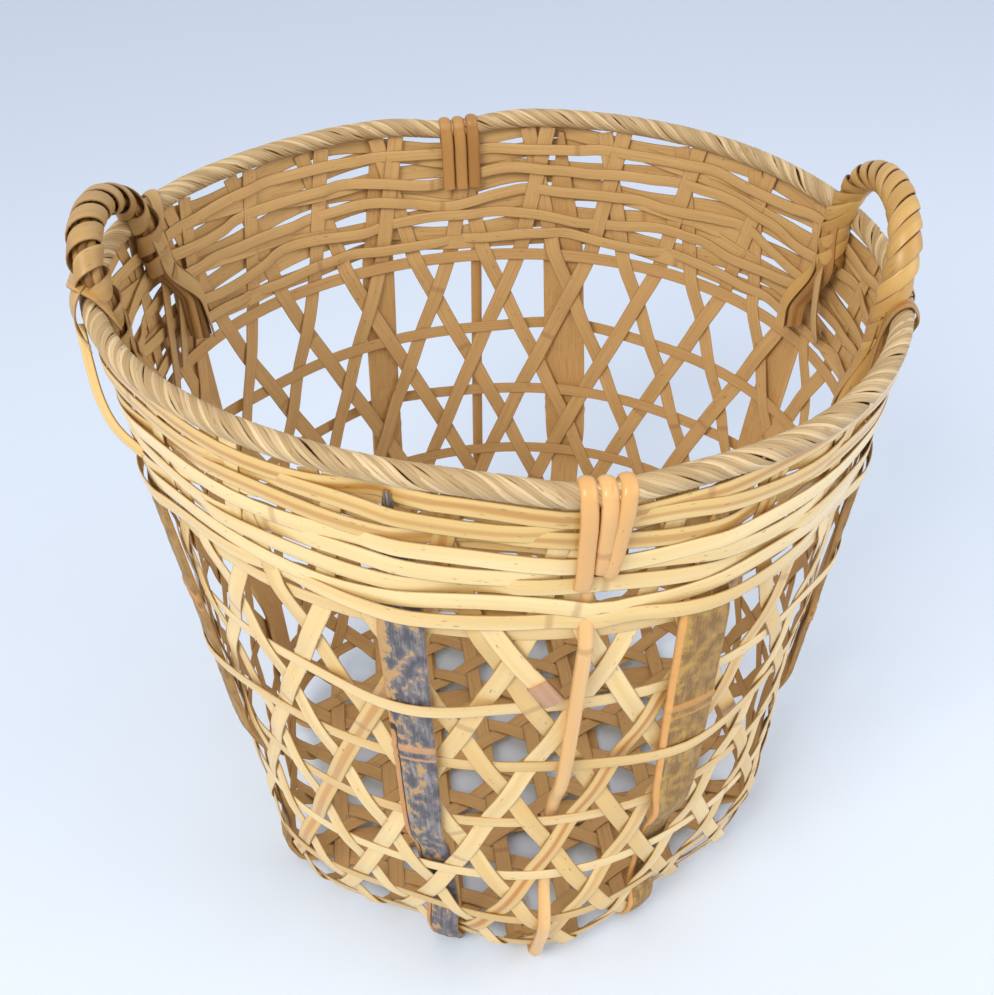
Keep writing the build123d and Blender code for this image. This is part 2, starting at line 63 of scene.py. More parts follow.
forward = Vector((math.sin(YAW) * math.cos(PITCH), math.cos(YAW) * math.cos(PITCH), -math.sin(PITCH)))
level = Vector((math.cos(YAW), -math.sin(YAW), 0))
above = level.cross(forward)
side = math.cos(ROLL) * level + math.sin(ROLL) * above
top = -math.sin(ROLL) * level + math.cos(ROLL) * above
camera_data = bpy.data.cameras.new("camera")
camera_data.sensor_width = 36
camera_data.lens = FOCAL_PIXELS * camera_data.sensor_width / IMAGE_WIDTH
camera = bpy.data.objects.new("camera", camera_data)
turned = Matrix((side, top, -forward)).transposed()
camera.matrix_world = Matrix.Translation(CAMERA_PLACE) @ turned.to_4x4()
bpy.context.scene.collection.objects.link(camera)
bpy.context.scene.camera = camera
print("lens", round(camera_data.lens, 1), "mm")

# %% [markdown]
# ## Colours and nodes
# A paint maker names a colour by a hex value, which counts in steps that look even to the eye, but Blender
# mixes light in linear numbers. One function turns the first into the second, so the colours below stay easy
# to read. Another adds any node with its settings and links. Nodes can also be set one property at a time,
# but then a single finish would fill pages.

# %% Two helpers
EASED = {"interpolation_type": "SMOOTHSTEP"}  # for a mask that fades softly at both ends


def colour(code):
    """A hex colour as linear red, green, blue and alpha."""
    parts = [int(code[i:i + 2], 16) / 255 for i in (1, 3, 5)]
    return tuple(c / 12.92 if c < 0.04045 else ((c + 0.055) / 1.055) ** 2.4 for c in parts) + (1.0,)


def add(tree, kind, inputs=None, **settings):
    """Add one node. kind is its type, or in capitals the operation of a math node. inputs maps a socket's
    name or number to a value, or to the node or output that feeds it."""
    if kind.isupper():
        kind, settings = "ShaderNodeMath", {"operation": kind}
    made = tree.nodes.new(kind)
    for key, value in settings.items():
        setattr(made, key, value)
    for key, value in (inputs or {}).items():
        if isinstance(value, bpy.types.Node):
            value = next(output for output in value.outputs if output.enabled)
        if isinstance(value, bpy.types.NodeSocket):
            tree.links.new(value, made.inputs[key])
        else:
            made.inputs[key].default_value = value
    return made


print("pale skin in linear light is", [round(part, 3) for part in colour("#EFD49B")])

# %% [markdown]
# ## Reading a piece's rings
# A strip, a rod or a strand in the frame is a chain of rings, each with the same number of corners. Lines
# drawn afresh would soon part from the frame, so the rings are read from it. The mesh doesn't say which
# corners form a ring. An end ring does show itself, because the facets that close it use no other corner, and
# from there each step along the edges finds the next ring.

# %% Read the rings
def corner_rings(name, corners):
    """The rings of corners of a frame piece, in order from one end to the other."""
    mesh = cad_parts[name].data
    index, places = {}, []
    ids = []
    for vertex in mesh.vertices:
        key = tuple(round(c, 5) for c in vertex.co)
        if key not in index:
            index[key] = len(places)
            places.append(key)
        ids.append(index[key])
    links = [set() for _ in places]
    facets = [{ids[v] for v in polygon.vertices} for polygon in mesh.polygons]
    for facet in facets:
        for v in facet:
            links[v] |= facet - {v}

    def is_end(ring):
        return sum(facet <= ring for facet in facets) == corners - 2

    def layers_from(start, size=None):
        layers, seen = [start], set(start)
        while len(seen) < len(places):
            ahead = {n for v in layers[-1] for n in links[v]} - seen
            if size and len(ahead) != size:
                return None
            seen |= ahead
            layers.append(ahead)
        return layers

    def slack(rings):
        return sum(np.ptp(ring, axis=0).sum() for ring in rings)

    farthest = [v for layer in reversed(layers_from({0})) for v in sorted(layer)]
    for first in farthest:
        near = sorted({n for v in links[first] for n in links[v]} | links[first] - {first})
        starts = [{first, *mates} for mates in combinations(near, corners - 1)]
        chains = [layers_from(start, corners) for start in starts if len(start) == corners and is_end(start)]
        chains = [[np.array([places[v] for v in sorted(layer)]) for layer in layers]
                  for layers in chains if layers and is_end(layers[-1])]
        if chains:
            return min(chains, key=slack)  # the true rings are the tightest of those that fit
    raise ValueError(f"{name} has no end with {corners} corners")


print("one strip of the wall has", len(corner_rings("strip_a_4", 4)), "rings")

# %% [markdown]
# ## Which way a strip faces
# A flat strip's ring has four corners: two short sides, which are its thickness, and two long ones, which are
# its width. The short side's direction is the way that the skin faces. It could be pointed away from the
# basket's axis instead, but under the base that would be wrong, so each ring keeps the sign of the last.

# %% Read a strip's line
def strip_line(name):
    """Centres and outward normals of a flat frame piece, ring by ring, and its widths and thicknesses."""
    centres, normals, widths, thicknesses = [], [], [], []
    for ring in corner_rings(name, 4):
        centre = ring.mean(0)
        apart = np.linalg.norm(ring - ring[0], axis=1)
        mate = 1 + int(np.argmin(apart[1:]))
        across_pair = ring[[i for i in range(1, 4) if i != mate]].mean(0)
        normal = (ring[0] - ring[mate]) / apart[mate]
        reference = normals[-1] if normals else centre * (1, 1, 0)
        normals.append(normal if normal @ reference > 0 else -normal)
        centres.append(centre)
        widths.append(np.linalg.norm(ring[[0, mate]].mean(0) - across_pair))
        thicknesses.append(apart[mate])
    return np.array(centres), np.array(normals), np.array(widths), np.array(thicknesses)


print("it is", round(float(strip_line("strip_a_4")[2].mean()) / MM, 1), "mm wide in the frame")

# %% [markdown]
# ## Bending it smoothly
# Split bamboo has no corner anywhere, while the frame's strip is a chain of straight stretches. A quadratic
# B-spline takes the ring centres as its handles and runs close by each of them. It rounds the corners and
# never swings past them, as a curve forced through every point would.

# %% Smooth a line
def smooth(values, closed=False, steps=4):
    """Samples of a quadratic B-spline with these control values, a number of steps for each."""
    ends = (values[-1:], values, values[:1]) if closed else (values[:1], values, values[-1:])
    chain = np.concatenate(ends)
    t = (np.arange(steps) / steps).reshape((-1,) + (1,) * (chain.ndim - 1))
    spans = [0.5 * (1 - t) ** 2 * a + (0.5 + t - t * t) * b + 0.5 * t * t * c
             for a, b, c in zip(chain, chain[1:], chain[2:])]
    line = np.concatenate(spans)
    return line if closed else np.concatenate([line, values[-1:]])


print("smoothed, its line has", len(smooth(strip_line("strip_a_4")[0])), "points")

# %% [markdown]
# ## One tree of Geometry Nodes for every strip
# A basket is one idea repeated: a flat splint laid along a line. Each strip could be drawn by hand, but one
# node tree does them all alike. It lays one splint along its line, or several side by side and twisted round
# it, which gives the border and the wound handles as well. First come its inputs: the line, the sizes, and
# the material.

# %% Name the tree's inputs
tree = bpy.data.node_groups.new("laid strips", "GeometryNodeTree")
INPUTS = {
    "Geometry": ["Line"],
    "Float": ["Width", "Thickness", "Crown", "Squareness", "Turns", "Radius", "Phase", "Unevenness", "Stray"],
    "Int": ["Strips", "Corners", "Seed"],
    "Material": ["Material"],
}
for kind, labels in INPUTS.items():
    for label in labels:
        tree.interface.new_socket(label, in_out="INPUT", socket_type="NodeSocket" + kind)
tree.interface.new_socket("Strip", in_out="OUTPUT", socket_type="NodeSocketGeometry")
given = tree.nodes.new("NodeGroupInput").outputs
print("the tree takes", len(given) - 1, "inputs")

# %% [markdown]
# ## Counting out the splints
# The edges of the line become a curve, the curve is copied once for each splint, and each copy draws a
# number, its tone, that later makes it a little darker or lighter than its neighbours. The distance along
# the splint is stored too, because a real fibre pattern runs on past every bend.

# %% Copy the line
outward = add(tree, "GeometryNodeInputNamedAttribute", {"Name": "outward"}, data_type="FLOAT_VECTOR")
line = add(tree, "GeometryNodeMeshToCurve", {"Mesh": given["Line"]})
faced = add(tree, "GeometryNodeSetCurveNormal", {"Curve": line, "Normal": outward}, mode="FREE")
parameter = add(tree, "GeometryNodeSplineParameter")
measured = add(tree, "GeometryNodeStoreNamedAttribute",
               {"Geometry": faced, "Name": "along", "Value": parameter.outputs["Length"]})
copies = add(tree, "GeometryNodeDuplicateElements", {"Geometry": measured, "Amount": given["Strips"]},
             domain="SPLINE")
number = copies.outputs["Duplicate Index"]
toned = add(tree, "FunctionNodeRandomValue", {2: 0.0, 3: 1.0, "ID": number, "Seed": given["Seed"]},
            data_type="FLOAT")
tone = add(tree, "GeometryNodeStoreNamedAttribute", {"Geometry": copies, "Name": "tone", "Value": toned})
print("nodes so far:", len(tree.nodes))

# %% [markdown]
# ## Winding them round the line
# A splint of a rope or of a handle's winding goes round the line at an even pace, so its angle is its share
# of the circle plus the turns made so far. Hands aren't that even, so a slow noise lets it stray. Cosine
# and sine of the angle then give the way out from the line, and the splint moves that way by the radius.
# With a radius of nothing the same nodes leave a plain strip where it is.

# %% Wind the splints
APART = 7.3     # metres of the noise between two splints, so that no two stray alike
WAVER = 30.0    # strays in a metre
REACH = 0.12    # how far a splint rises and sinks, as a share of the radius
share = add(tree, "DIVIDE", {0: number, 1: given["Strips"]})
wound = add(tree, "MULTIPLY_ADD", {0: parameter.outputs["Factor"], 1: given["Turns"], 2: share})
phased = add(tree, "ADD", {0: wound, 1: given["Phase"]})
angle = add(tree, "MULTIPLY", {0: phased, 1: math.tau})
drift = add(tree, "MULTIPLY_ADD", {0: number, 1: APART, 2: parameter.outputs["Length"]})
waver = add(tree, "ShaderNodeTexNoise", {"W": drift, "Scale": WAVER, "Detail": 1.0}, noise_dimensions="1D")
centred = add(tree, "SUBTRACT", {0: waver, 1: 0.5})
strayed = add(tree, "MULTIPLY_ADD", {0: centred, 1: given["Stray"], 2: angle})
cosine = add(tree, "COSINE", {0: strayed})
sine = add(tree, "SINE", {0: strayed})
normal = add(tree, "GeometryNodeInputNormal")
tangent = add(tree, "GeometryNodeInputTangent")
sideways = add(tree, "ShaderNodeVectorMath", {0: tangent, 1: normal}, operation="CROSS_PRODUCT")
out_part = add(tree, "ShaderNodeVectorMath", {0: normal, "Scale": cosine}, operation="SCALE")
side_part = add(tree, "ShaderNodeVectorMath", {0: sideways, "Scale": sine}, operation="SCALE")
radial = add(tree, "ShaderNodeVectorMath", {0: out_part, 1: side_part}, operation="ADD")
aimed = add(tree, "GeometryNodeStoreNamedAttribute", {"Geometry": tone, "Name": "radial", "Value": radial},
            data_type="FLOAT_VECTOR")
reach = add(tree, "MULTIPLY_ADD", {0: centred, 1: REACH, 2: 1.0})
distance = add(tree, "MULTIPLY", {0: reach, 1: given["Radius"]})
away = add(tree, "GeometryNodeInputNamedAttribute", {"Name": "radial"}, data_type="FLOAT_VECTOR")
offset = add(tree, "ShaderNodeVectorMath", {0: away, "Scale": distance}, operation="SCALE")
moved = add(tree, "GeometryNodeSetPosition", {"Geometry": aimed, "Offset": offset})
tilted = add(tree, "GeometryNodeSetCurveNormal", {"Curve": moved, "Normal": away}, mode="FREE")
print("nodes so far:", len(tree.nodes))

# %% [markdown]
# ## Uneven widths
# A knife that follows the grain never cuts two places equally wide. A second noise swells and narrows the
# splint, and the line's own taper narrows it where a strip ends or climbs to the right. Both go into the
# curve's radius, which Curve to Mesh multiplies into the cross-section, so no mesh has to be edited later.

# %% Vary the width
SEED_APART = 3.7    # metres of the noise between two seeds
SWELL = 14.0        # swellings in a metre
seeded = add(tree, "MULTIPLY_ADD", {0: given["Seed"], 1: SEED_APART, 2: drift})
swell = add(tree, "ShaderNodeTexNoise", {"W": seeded, "Scale": SWELL, "Detail": 2.0}, noise_dimensions="1D")
swell_centred = add(tree, "SUBTRACT", {0: swell, 1: 0.5})
scaled = add(tree, "MULTIPLY_ADD", {0: swell_centred, 1: given["Unevenness"], 2: 1.0})
taper = add(tree, "GeometryNodeInputNamedAttribute", {"Name": "taper"}, data_type="FLOAT")
tapered = add(tree, "MULTIPLY", {0: scaled, 1: taper})
sized = add(tree, "GeometryNodeSetCurveRadius", {"Curve": tilted, "Radius": tapered})
print("nodes so far:", len(tree.nodes))

# %% [markdown]
# ## The splint's cross-section
# A split splint is a flat bar with soft edges, crowned on its skin side like the culm that it came from. A
# rectangle would have hard corners and a bevel many faces, so a circle is squared off instead: its two
# coordinates are raised to a power of one or less. They are stored as well, and tell the materials the place
# across the splint, and whether the skin or the pith faces that way.

# %% Square off a circle
circle = add(tree, "GeometryNodeCurvePrimitiveCircle", {"Resolution": given["Corners"], "Radius": 1.0})
place = add(tree, "GeometryNodeInputPosition")
parts = add(tree, "ShaderNodeSeparateXYZ", {0: place})
section = circle
for axis, label in enumerate(("across", "face")):
    size = add(tree, "ABSOLUTE", {0: parts.outputs[axis]})
    power = add(tree, "POWER", {0: size, 1: given["Squareness"]})
    sign = add(tree, "SIGN", {0: parts.outputs[axis]})
    squared = add(tree, "MULTIPLY", {0: power, 1: sign})
    section = add(tree, "GeometryNodeStoreNamedAttribute",
                  {"Geometry": section, "Name": label, "Value": squared})
sized_parts = []
for label, measure in (("across", "Width"), ("face", "Thickness")):
    half = add(tree, "MULTIPLY", {0: given[measure], 1: 0.5})
    stored = add(tree, "GeometryNodeInputNamedAttribute", {"Name": label}, data_type="FLOAT")
    sized_parts.append(add(tree, "MULTIPLY", {0: stored, 1: half}))
wide, deep = sized_parts
read_across = add(tree, "GeometryNodeInputNamedAttribute", {"Name": "across"}, data_type="FLOAT")
bow = add(tree, "MULTIPLY", {0: read_across, 1: read_across})
bowed = add(tree, "MULTIPLY_ADD", {0: bow, 1: -1.0, 2: 1.0})
crowned = add(tree, "MULTIPLY_ADD", {0: bowed, 1: given["Crown"], 2: deep})
corner = add(tree, "ShaderNodeCombineXYZ", {0: crowned, 1: wide})
profile = add(tree, "GeometryNodeSetPosition", {"Geometry": section, "Position": corner})
print("nodes so far:", len(tree.nodes))

# %% [markdown]
# ## Sweeping it along
# Curve to Mesh pulls the section along every splint and closes its ends. Instances are made real and the
# material is set last, so that what leaves the tree is a plain mesh that any other program can read.

# %% Sweep and finish
swept = add(tree, "GeometryNodeCurveToMesh", {"Curve": sized, "Profile Curve": profile, "Fill Caps": True})
softened = add(tree, "GeometryNodeSetShadeSmooth", {"Geometry": swept})
realized = add(tree, "GeometryNodeRealizeInstances", {"Geometry": softened})
finished = add(tree, "GeometryNodeSetMaterial", {"Geometry": realized, "Material": given["Material"]})
add(tree, "NodeGroupOutput", {0: finished})
print("the strip tree has", len(tree.nodes), "nodes")

# %% [markdown]
# ## Patterns that run along the grain
# Everything that marks a splint runs along it: fibres, patches of deeper colour, specks. One noise does for
# all of them when it is drawn out, so its place is divided by the real length and the real breadth of the
# mark. A picture of bamboo could be wrapped on instead, but it would repeat, and it would not follow a bend.

# %% Marks drawn out along a splint
DEPTH = 31.0    # how far apart in the noise the palest strip and the deepest lie, so that strips differ


def drawn_out(tree, place, *marks):
    """One noise for each mark: its length, its breadth and its detail."""
    noises = []
    for length, breadth, detail in marks:
        scaled = add(tree, "ShaderNodeVectorMath", {0: place, 1: (1 / length, 1 / breadth, DEPTH)},
                     operation="MULTIPLY")
        noises.append(add(tree, "ShaderNodeTexNoise", {"Vector": scaled, "Scale": 1.0, "Detail": detail}))
    return noises


def start_material(name):
    """An empty material, and its node tree."""
    material = bpy.data.materials.new(name)
    material.use_nodes = True
    material.node_tree.nodes.clear()
    return material, material.node_tree


def finish_material(tree, shade, roughness, bump):
    """Bamboo and cane are cellulose, with an index of refraction of about 1.5 whatever their age."""
    shader = add(tree, "ShaderNodeBsdfPrincipled",
                 {"Base Color": shade, "Roughness": roughness, "Normal": bump, "IOR": 1.5})
    add(tree, "ShaderNodeOutputMaterial", {0: shader})


# %% [markdown]
# ## The skin of split bamboo
# The skin side of a splint is pale, dense and waxy. Its colour isn't one flat tan: each strip has its own
# tone, sun and water leave patches, some strips carry a brown streak, and fine fibres show through the wax.
# Each of those is a mask here, and the colours are laid over one another like thin coats of stain. One mixed
# colour would be cheaper, but it would leave no strip different from its neighbour.

# %% Colour the skin
FIBRE = 0.9 * MM     # width of one visible fibre bundle; the real ones are finer than a render shows
FIBRE_LENGTH = 45 * MM
PATCH = 7 * MM       # width of a patch of deeper colour
PATCH_LENGTH = 110 * MM
SPECK = 1.4 * MM
NODE_SPACING = 380 * MM  # between two nodes of the culm
STRETCH = 17.0       # metres of pattern between the palest strip and the deepest


def skin_side(tree, across, tone, slant, fine, broad, skin, deep, streak, streak_share):
    """The colour of the skin. A streak shows on a share of the strips, where they climb to the right."""
    half = add(tree, "MULTIPLY", {0: broad, 1: 0.75})
    blotch = add(tree, "MULTIPLY_ADD", {0: tone, 1: 0.55, 2: half})
    depth = add(tree, "ShaderNodeMapRange", {0: blotch, 1: 0.25, 2: 0.95}, **EASED)
    shade = add(tree, "ShaderNodeMix", {0: depth, 6: colour(skin), 7: colour(deep)}, data_type="RGBA")
    if streak:
        wander = add(tree, "SUBTRACT", {0: broad, 1: 0.5})
        aside = add(tree, "ADD", {0: across, 1: wander})
        middle = add(tree, "ABSOLUTE", {0: aside})
        stripe = add(tree, "ShaderNodeMapRange", {0: middle, 1: 0.5, 2: 0.1}, **EASED)
        chosen = add(tree, "ShaderNodeMapRange", {0: tone, 1: 1 - streak_share, 2: 1.02}, **EASED)
        for gate in (chosen, slant):
            stripe = add(tree, "MULTIPLY", {0: stripe, 1: gate})
        shade = add(tree, "ShaderNodeMix", {0: stripe, 6: shade, 7: colour(streak)}, data_type="RGBA")
    lines = add(tree, "ShaderNodeMapRange", {0: fine, 1: 0.45, 2: 0.8, 4: 0.35}, **EASED)
    return add(tree, "ShaderNodeMix", {0: lines, 6: shade, 7: colour(deep)}, data_type="RGBA")


print("a fibre is drawn", round(FIBRE / MM, 1), "mm wide and", round(FIBRE_LENGTH / MM), "mm long")

# %% [markdown]
# ## The whole finish of split bamboo
# The inner face is open fibre, tan and matt. The edges are darker, partly the cut fibre that the knife left
# and partly painted shade where neighbouring strips meet; a node of the culm crosses the strip here and there
# as a ridge, and age has left specks. Where the face turns from skin to fibre the gloss goes too. The numbers
# that the node tree left on each point drive all of it, because a pattern laid out in space would cut across
# the bends instead of following them.

# %% Mix split bamboo
# The second colour darkens every strip's edges: partly the cut fibre, partly painted shade where strips meet.
PORE, SPLIT_EDGE_AND_SHADE, NODE_LINE, AGE_SPECK = "#A67C46", "#7A5220", "#8F5A35", "#6B4420"


def split_bamboo(name, skin, deep, pith, streak=None, streak_share=0.0, width=9.5 * MM, gloss=0.33,
                 edge=0.55):
    """Split bamboo: hex colours of the pale skin, its deeper tone and the inner face."""
    material, tree = start_material(name)
    along, across, face, tone, slant = (add(tree, "ShaderNodeAttribute", attribute_name=label).outputs["Fac"]
                                        for label in ("along", "across", "face", "tone", "slant"))
    # Every strip reads its own stretch of the pattern, because its tone shifts it along.
    shifted = add(tree, "MULTIPLY_ADD", {0: tone, 1: STRETCH, 2: along})
    metres = add(tree, "MULTIPLY", {0: across, 1: width / 2})
    place = add(tree, "ShaderNodeCombineXYZ", {0: shifted, 1: metres, 2: tone})
    fine, broad, specks = drawn_out(tree, place, (FIBRE_LENGTH, FIBRE, 3.0), (PATCH_LENGTH, PATCH, 2.0),
                                    (4 * SPECK, SPECK, 1.0))
    outside = skin_side(tree, across, tone, slant, fine, broad, skin, deep, streak, streak_share)
    pores = add(tree, "ShaderNodeMapRange", {0: fine, 1: 0.35, 2: 0.8, 4: 0.5}, **EASED)
    inside = add(tree, "ShaderNodeMix", {0: pores, 6: colour(pith), 7: colour(PORE)}, data_type="RGBA")
    turned_out = add(tree, "ShaderNodeMapRange", {0: face, 1: -0.35, 2: 0.25}, **EASED)
    shade = add(tree, "ShaderNodeMix", {0: turned_out, 6: inside, 7: outside}, data_type="RGBA")
    # Darker edges, partly split fibre and partly painted shade, then nodes and specks.
    aside = add(tree, "ABSOLUTE", {0: across})
    rim = add(tree, "ShaderNodeMapRange", {0: aside, 1: 0.86, 2: 1.0, 4: edge}, **EASED)
    spans = add(tree, "DIVIDE", {0: shifted, 1: NODE_SPACING})
    spans = add(tree, "FRACT", {0: spans})
    spans = add(tree, "SUBTRACT", {0: spans, 1: 0.5})
    spans = add(tree, "ABSOLUTE", {0: spans})
    knot = add(tree, "ShaderNodeMapRange", {0: spans, 1: 0.0075, 2: 0.0015}, **EASED)
    mark = add(tree, "MULTIPLY", {0: knot, 1: 0.35})
    dots = add(tree, "ShaderNodeMapRange", {0: specks, 1: 0.7, 2: 0.78, 4: 0.5}, **EASED)
    for mask, code in ((rim, SPLIT_EDGE_AND_SHADE), (mark, NODE_LINE), (dots, AGE_SPECK)):
        shade = add(tree, "ShaderNodeMix", {0: mask, 6: shade, 7: colour(code)}, data_type="RGBA")
    # Waxy skin is smoother than open fibre, and the fibres break up both.
    wax = add(tree, "ShaderNodeMapRange", {0: face, 1: -0.35, 2: 0.25, 3: 0.62, 4: gloss})
    dull = add(tree, "MULTIPLY_ADD", {0: fine, 1: 0.22, 2: wax})
    roughness = add(tree, "SUBTRACT", {0: dull, 1: 0.11})
    height = add(tree, "MULTIPLY_ADD", {0: knot, 1: 1.4, 2: fine})
    bump = add(tree, "ShaderNodeBump", {"Strength": 0.35, "Distance": 0.25 * MM, "Height": height})
    finish_material(tree, shade, roughness, bump)
    return material


# %% [markdown]
# ## Three finishes for the wall
# All the strips of the wall were split from the same culms, but they were not cut or worn alike. Three
# materials from one recipe keep them related, where three recipes would drift apart.

# %% Finish the wall's bamboo
# Culm split into flat splints and left plain. Its waxy skin gives the eye a soft, broken sheen, and tones
# that change from strip to strip tell it that the strips were cut one by one.
weave_bamboo = split_bamboo("split bamboo, woven wall", "#EFD49B", "#D9B370", "#C9A26A",
                            streak="#B8722A", streak_share=0.45)
# The same culm split narrower and without streaks, so that the hoops look calmer than the weave they hold.
hoop_bamboo = split_bamboo("split bamboo, hoops", "#EBCF97", "#D5AF6B", "#C69E66", width=8 * MM)
# Splints polished by hands, as a rim is: the palest and glossiest, with darker edges, partly from handling
# and partly painted shade, that part row from row.
band_bamboo = split_bamboo("split bamboo, rim band", "#F3DAA2", "#DDB974", "#CDA86F", streak="#BE8A45",
                           streak_share=0.35, gloss=0.18, edge=0.75)
print("split bamboo is ready in three finishes")

# %% [markdown]
# ## Laying a piece
# One function does what a weaver's hands do: it takes a line, turns it into edges with the skin's
# direction on every point, runs the node tree over it and keeps the result as a plain mesh. Modifiers could
# be left on the pieces instead, but a finished mesh is what the basket's frame can carry.

# %% Keep a piece and lay strips
pieces = {}


def keep(name, mesh, stands_for=()):
    """Make an object of a finished mesh and let it ride on the basket."""
    mesh.name = name
    piece = bpy.data.objects.new(name, mesh)
    bpy.context.scene.collection.objects.link(piece)
    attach(piece, "root")
    if stands_for:
        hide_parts(*stands_for)
    pieces[name] = piece


def lay(name, points, normals, material, slot, stands_for=(), closed=False, taper=None, slant=None, **sizes):
    """Lay splints along a line and keep them as one piece."""
    count = len(points)
    edges = [(i, i + 1) for i in range(count - 1)] + ([(count - 1, 0)] if closed else [])
    mesh = bpy.data.meshes.new(name)
    mesh.from_pydata([tuple(p) for p in points], edges, [])
    mesh.attributes.new("outward", "FLOAT_VECTOR", "POINT").data.foreach_set(
        "vector", np.asarray(normals, np.float32).ravel())
    for label, values in (("taper", taper), ("slant", slant)):
        values = np.ones(count) if values is None else values
        mesh.attributes.new(label, "FLOAT", "POINT").data.foreach_set("value", np.asarray(values, np.float32))
    line_object = bpy.data.objects.new(name + "_line", mesh)
    bpy.context.scene.collection.objects.link(line_object)
    modifier = line_object.modifiers.new("strips", "NODES")
    modifier.node_group = bpy.data.node_groups["laid strips"]
    values = {"Width": 9.2 * MM, "Thickness": 0.9 * MM, "Crown": 0.15 * MM, "Squareness": 0.4, "Turns": 0.0,
              "Radius": 0.0, "Phase": 0.0, "Unevenness": 0.25, "Stray": 0.0, "Strips": 1, "Corners": 16,
              "Seed": len(pieces) + 1, "Material": material, **sizes}
    for item in modifier.node_group.interface.items_tree:
        if item.in_out == "INPUT" and item.name in values:
            modifier[item.identifier] = values[item.name]
    bpy.context.view_layer.update()
    graph = bpy.context.evaluated_depsgraph_get()
    result = bpy.data.meshes.new_from_object(line_object.evaluated_get(graph), preserve_all_data_layers=True,
                                             depsgraph=graph)
    bpy.data.objects.remove(line_object)
    keep(name, result, stands_for)


# %% [markdown]
# ## Places on the wall
# Many small things are held by the wall: the end of a strip, a loop of cane, a handle. They could be placed
# by three coordinates each, but then every one would have to be moved if the basket changed. An angle round
# the basket and a height counted in hoops say the same, and they follow the wall's own shape.

# %% Find the rim
def ring_centres(name, corners):
    """The middle of each ring of a frame piece."""
    return np.array([ring.mean(0) for ring in corner_rings(name, corners)])


def around(line, angle):
    """The point of a closed line at an angle round the basket, in degrees."""
    turns = np.degrees(np.arctan2(line[:, 1], line[:, 0])) % 360
    order = np.argsort(turns)
    turns, sorted_line = turns[order], line[order]
    return np.array([np.interp(angle % 360, turns, sorted_line[:, k], period=360) for k in range(3)])


first_strand, second_strand = ring_centres("border_strand_1", 4), ring_centres("border_strand_2", 4)
if np.abs(first_strand - second_strand).sum() > np.abs(first_strand - second_strand[::-1]).sum():
    second_strand = second_strand[::-1]
HOOPS = 7
hoops = [strip_line(f"hoop_{k}")[:2] for k in range(1, HOOPS + 1)]
HOOP_TOP, RIM_TOP = hoops[-1][0][:, 2].mean(), first_strand[:, 2].mean()
# The cane pulls the rim down where it is tied: the angle, the spread in degrees and the drop.
DIPS = ((277.0, 10.0, 6.0 * MM), (95.5, 9.0, 6.0 * MM))


def pulled_down(points):
    """Points of the rim and its band, lower by the pull of the cane that ties them."""
    turn = np.degrees(np.arctan2(points[:, 1], points[:, 0])) % 360
    share = np.clip((points[:, 2] - HOOP_TOP) / (RIM_TOP - HOOP_TOP), 0, 1)
    drop = share * sum(deep * np.exp(-((turn - angle) / spread) ** 2) for angle, spread, deep in DIPS)
    return points - np.array([0, 0, 1]) * drop[:, None]


border_points = pulled_down(smooth((first_strand + second_strand)[:-1] / 2, True, steps=7))
RINGS = [smooth(centres[:-1], True) for centres, _ in hoops] + [border_points]
print("the border's middle at the front lies at", around(border_points, 270).round(3))

# %% [markdown]
# ## Between two rings
# A place between two hoops is part of the way from one to the other, and a step along the level direction
# lifts it off the wall. A strip's skin faces away from the basket's axis there, or towards it on the inside.
# Where a strip turns over the rim neither is true, so on the border its skin faces away from the rim.

# %% Find a place between two rings
TURNS_OVER = 7.93    # above this ring a strip lies on the border, so its skin faces away from the rim


def on_wall(angle, ring, out):
    """A point of the wall. ring counts the hoops from 1 to 7, and 8 is the border; out is in millimetres."""
    below = max(1, min(int(ring), HOOPS)) - 1
    low, high = around(RINGS[below], angle), around(RINGS[below + 1], angle)
    direction = np.array([math.cos(math.radians(angle)), math.sin(math.radians(angle)), 0])
    return low + (high - low) * (ring - 1 - below) + direction * out * MM, direction


def wall_path(stops):
    """A smooth line through stops of angle, ring and distance out, and the way its skin faces."""
    points, faces = [], []
    for angle, ring, out in stops:
        point, direction = on_wall(angle, ring, out)
        from_rim = point - around(border_points, angle)
        points.append(point)
        on_border = ring > TURNS_OVER
        faces.append(from_rim / np.linalg.norm(from_rim) if on_border else direction * (1 if out > 0 else -1))
    return smooth(np.array(points), steps=8), smooth(np.array(faces), steps=8)


HALF_WAY = HOOPS / 2 + 0.5
print("half way up, the front of the wall lies at", on_wall(270, HALF_WAY, 0)[0].round(3))

# %% [markdown]
# ## The woven wall
# Twenty-four strips climb the wall in two slants, and they cross under the basket in three directions, so
# that six-sided holes stay open between them. Each one passes over and under all that it meets. A shell with
# holes cut in it would look like this from far off and like a stamped sheet from near, so each strip is
# laid by itself. Inside the rim band its ends lean on the way they were climbing, as they do on a real one.

# %% Lean the ends on
LEAN = 13.0            # degrees that an end leans inside the band
PASSING = 0.5 * MM     # an end that leans right lies this far outside the middle, and the others inside
WALL_RADIUS = 0.2      # of the wall near the rim, which turns a distance along it into an angle
LANDING = 15 * MM      # height over which an end moves out to where it passes the others
RUN_UP = (45 * MM, 5 * MM)  # how far below the top hoop a strip's slant is read
BLEND = 6              # points to either side over which a strip changes from one slant to the other


def climbs_right(points):
    """How far each point belongs to a stretch that climbs to the right, seen from outside: 0 to 1."""
    turn = np.unwrap(np.arctan2(points[:, 1], points[:, 0]))
    steps = np.gradient(turn) * np.gradient(points[:, 2])
    share = (steps > 0).astype(float)
    window = 2 * BLEND + 1
    return np.convolve(np.pad(share, BLEND, mode="edge"), np.ones(window) / window, "valid")


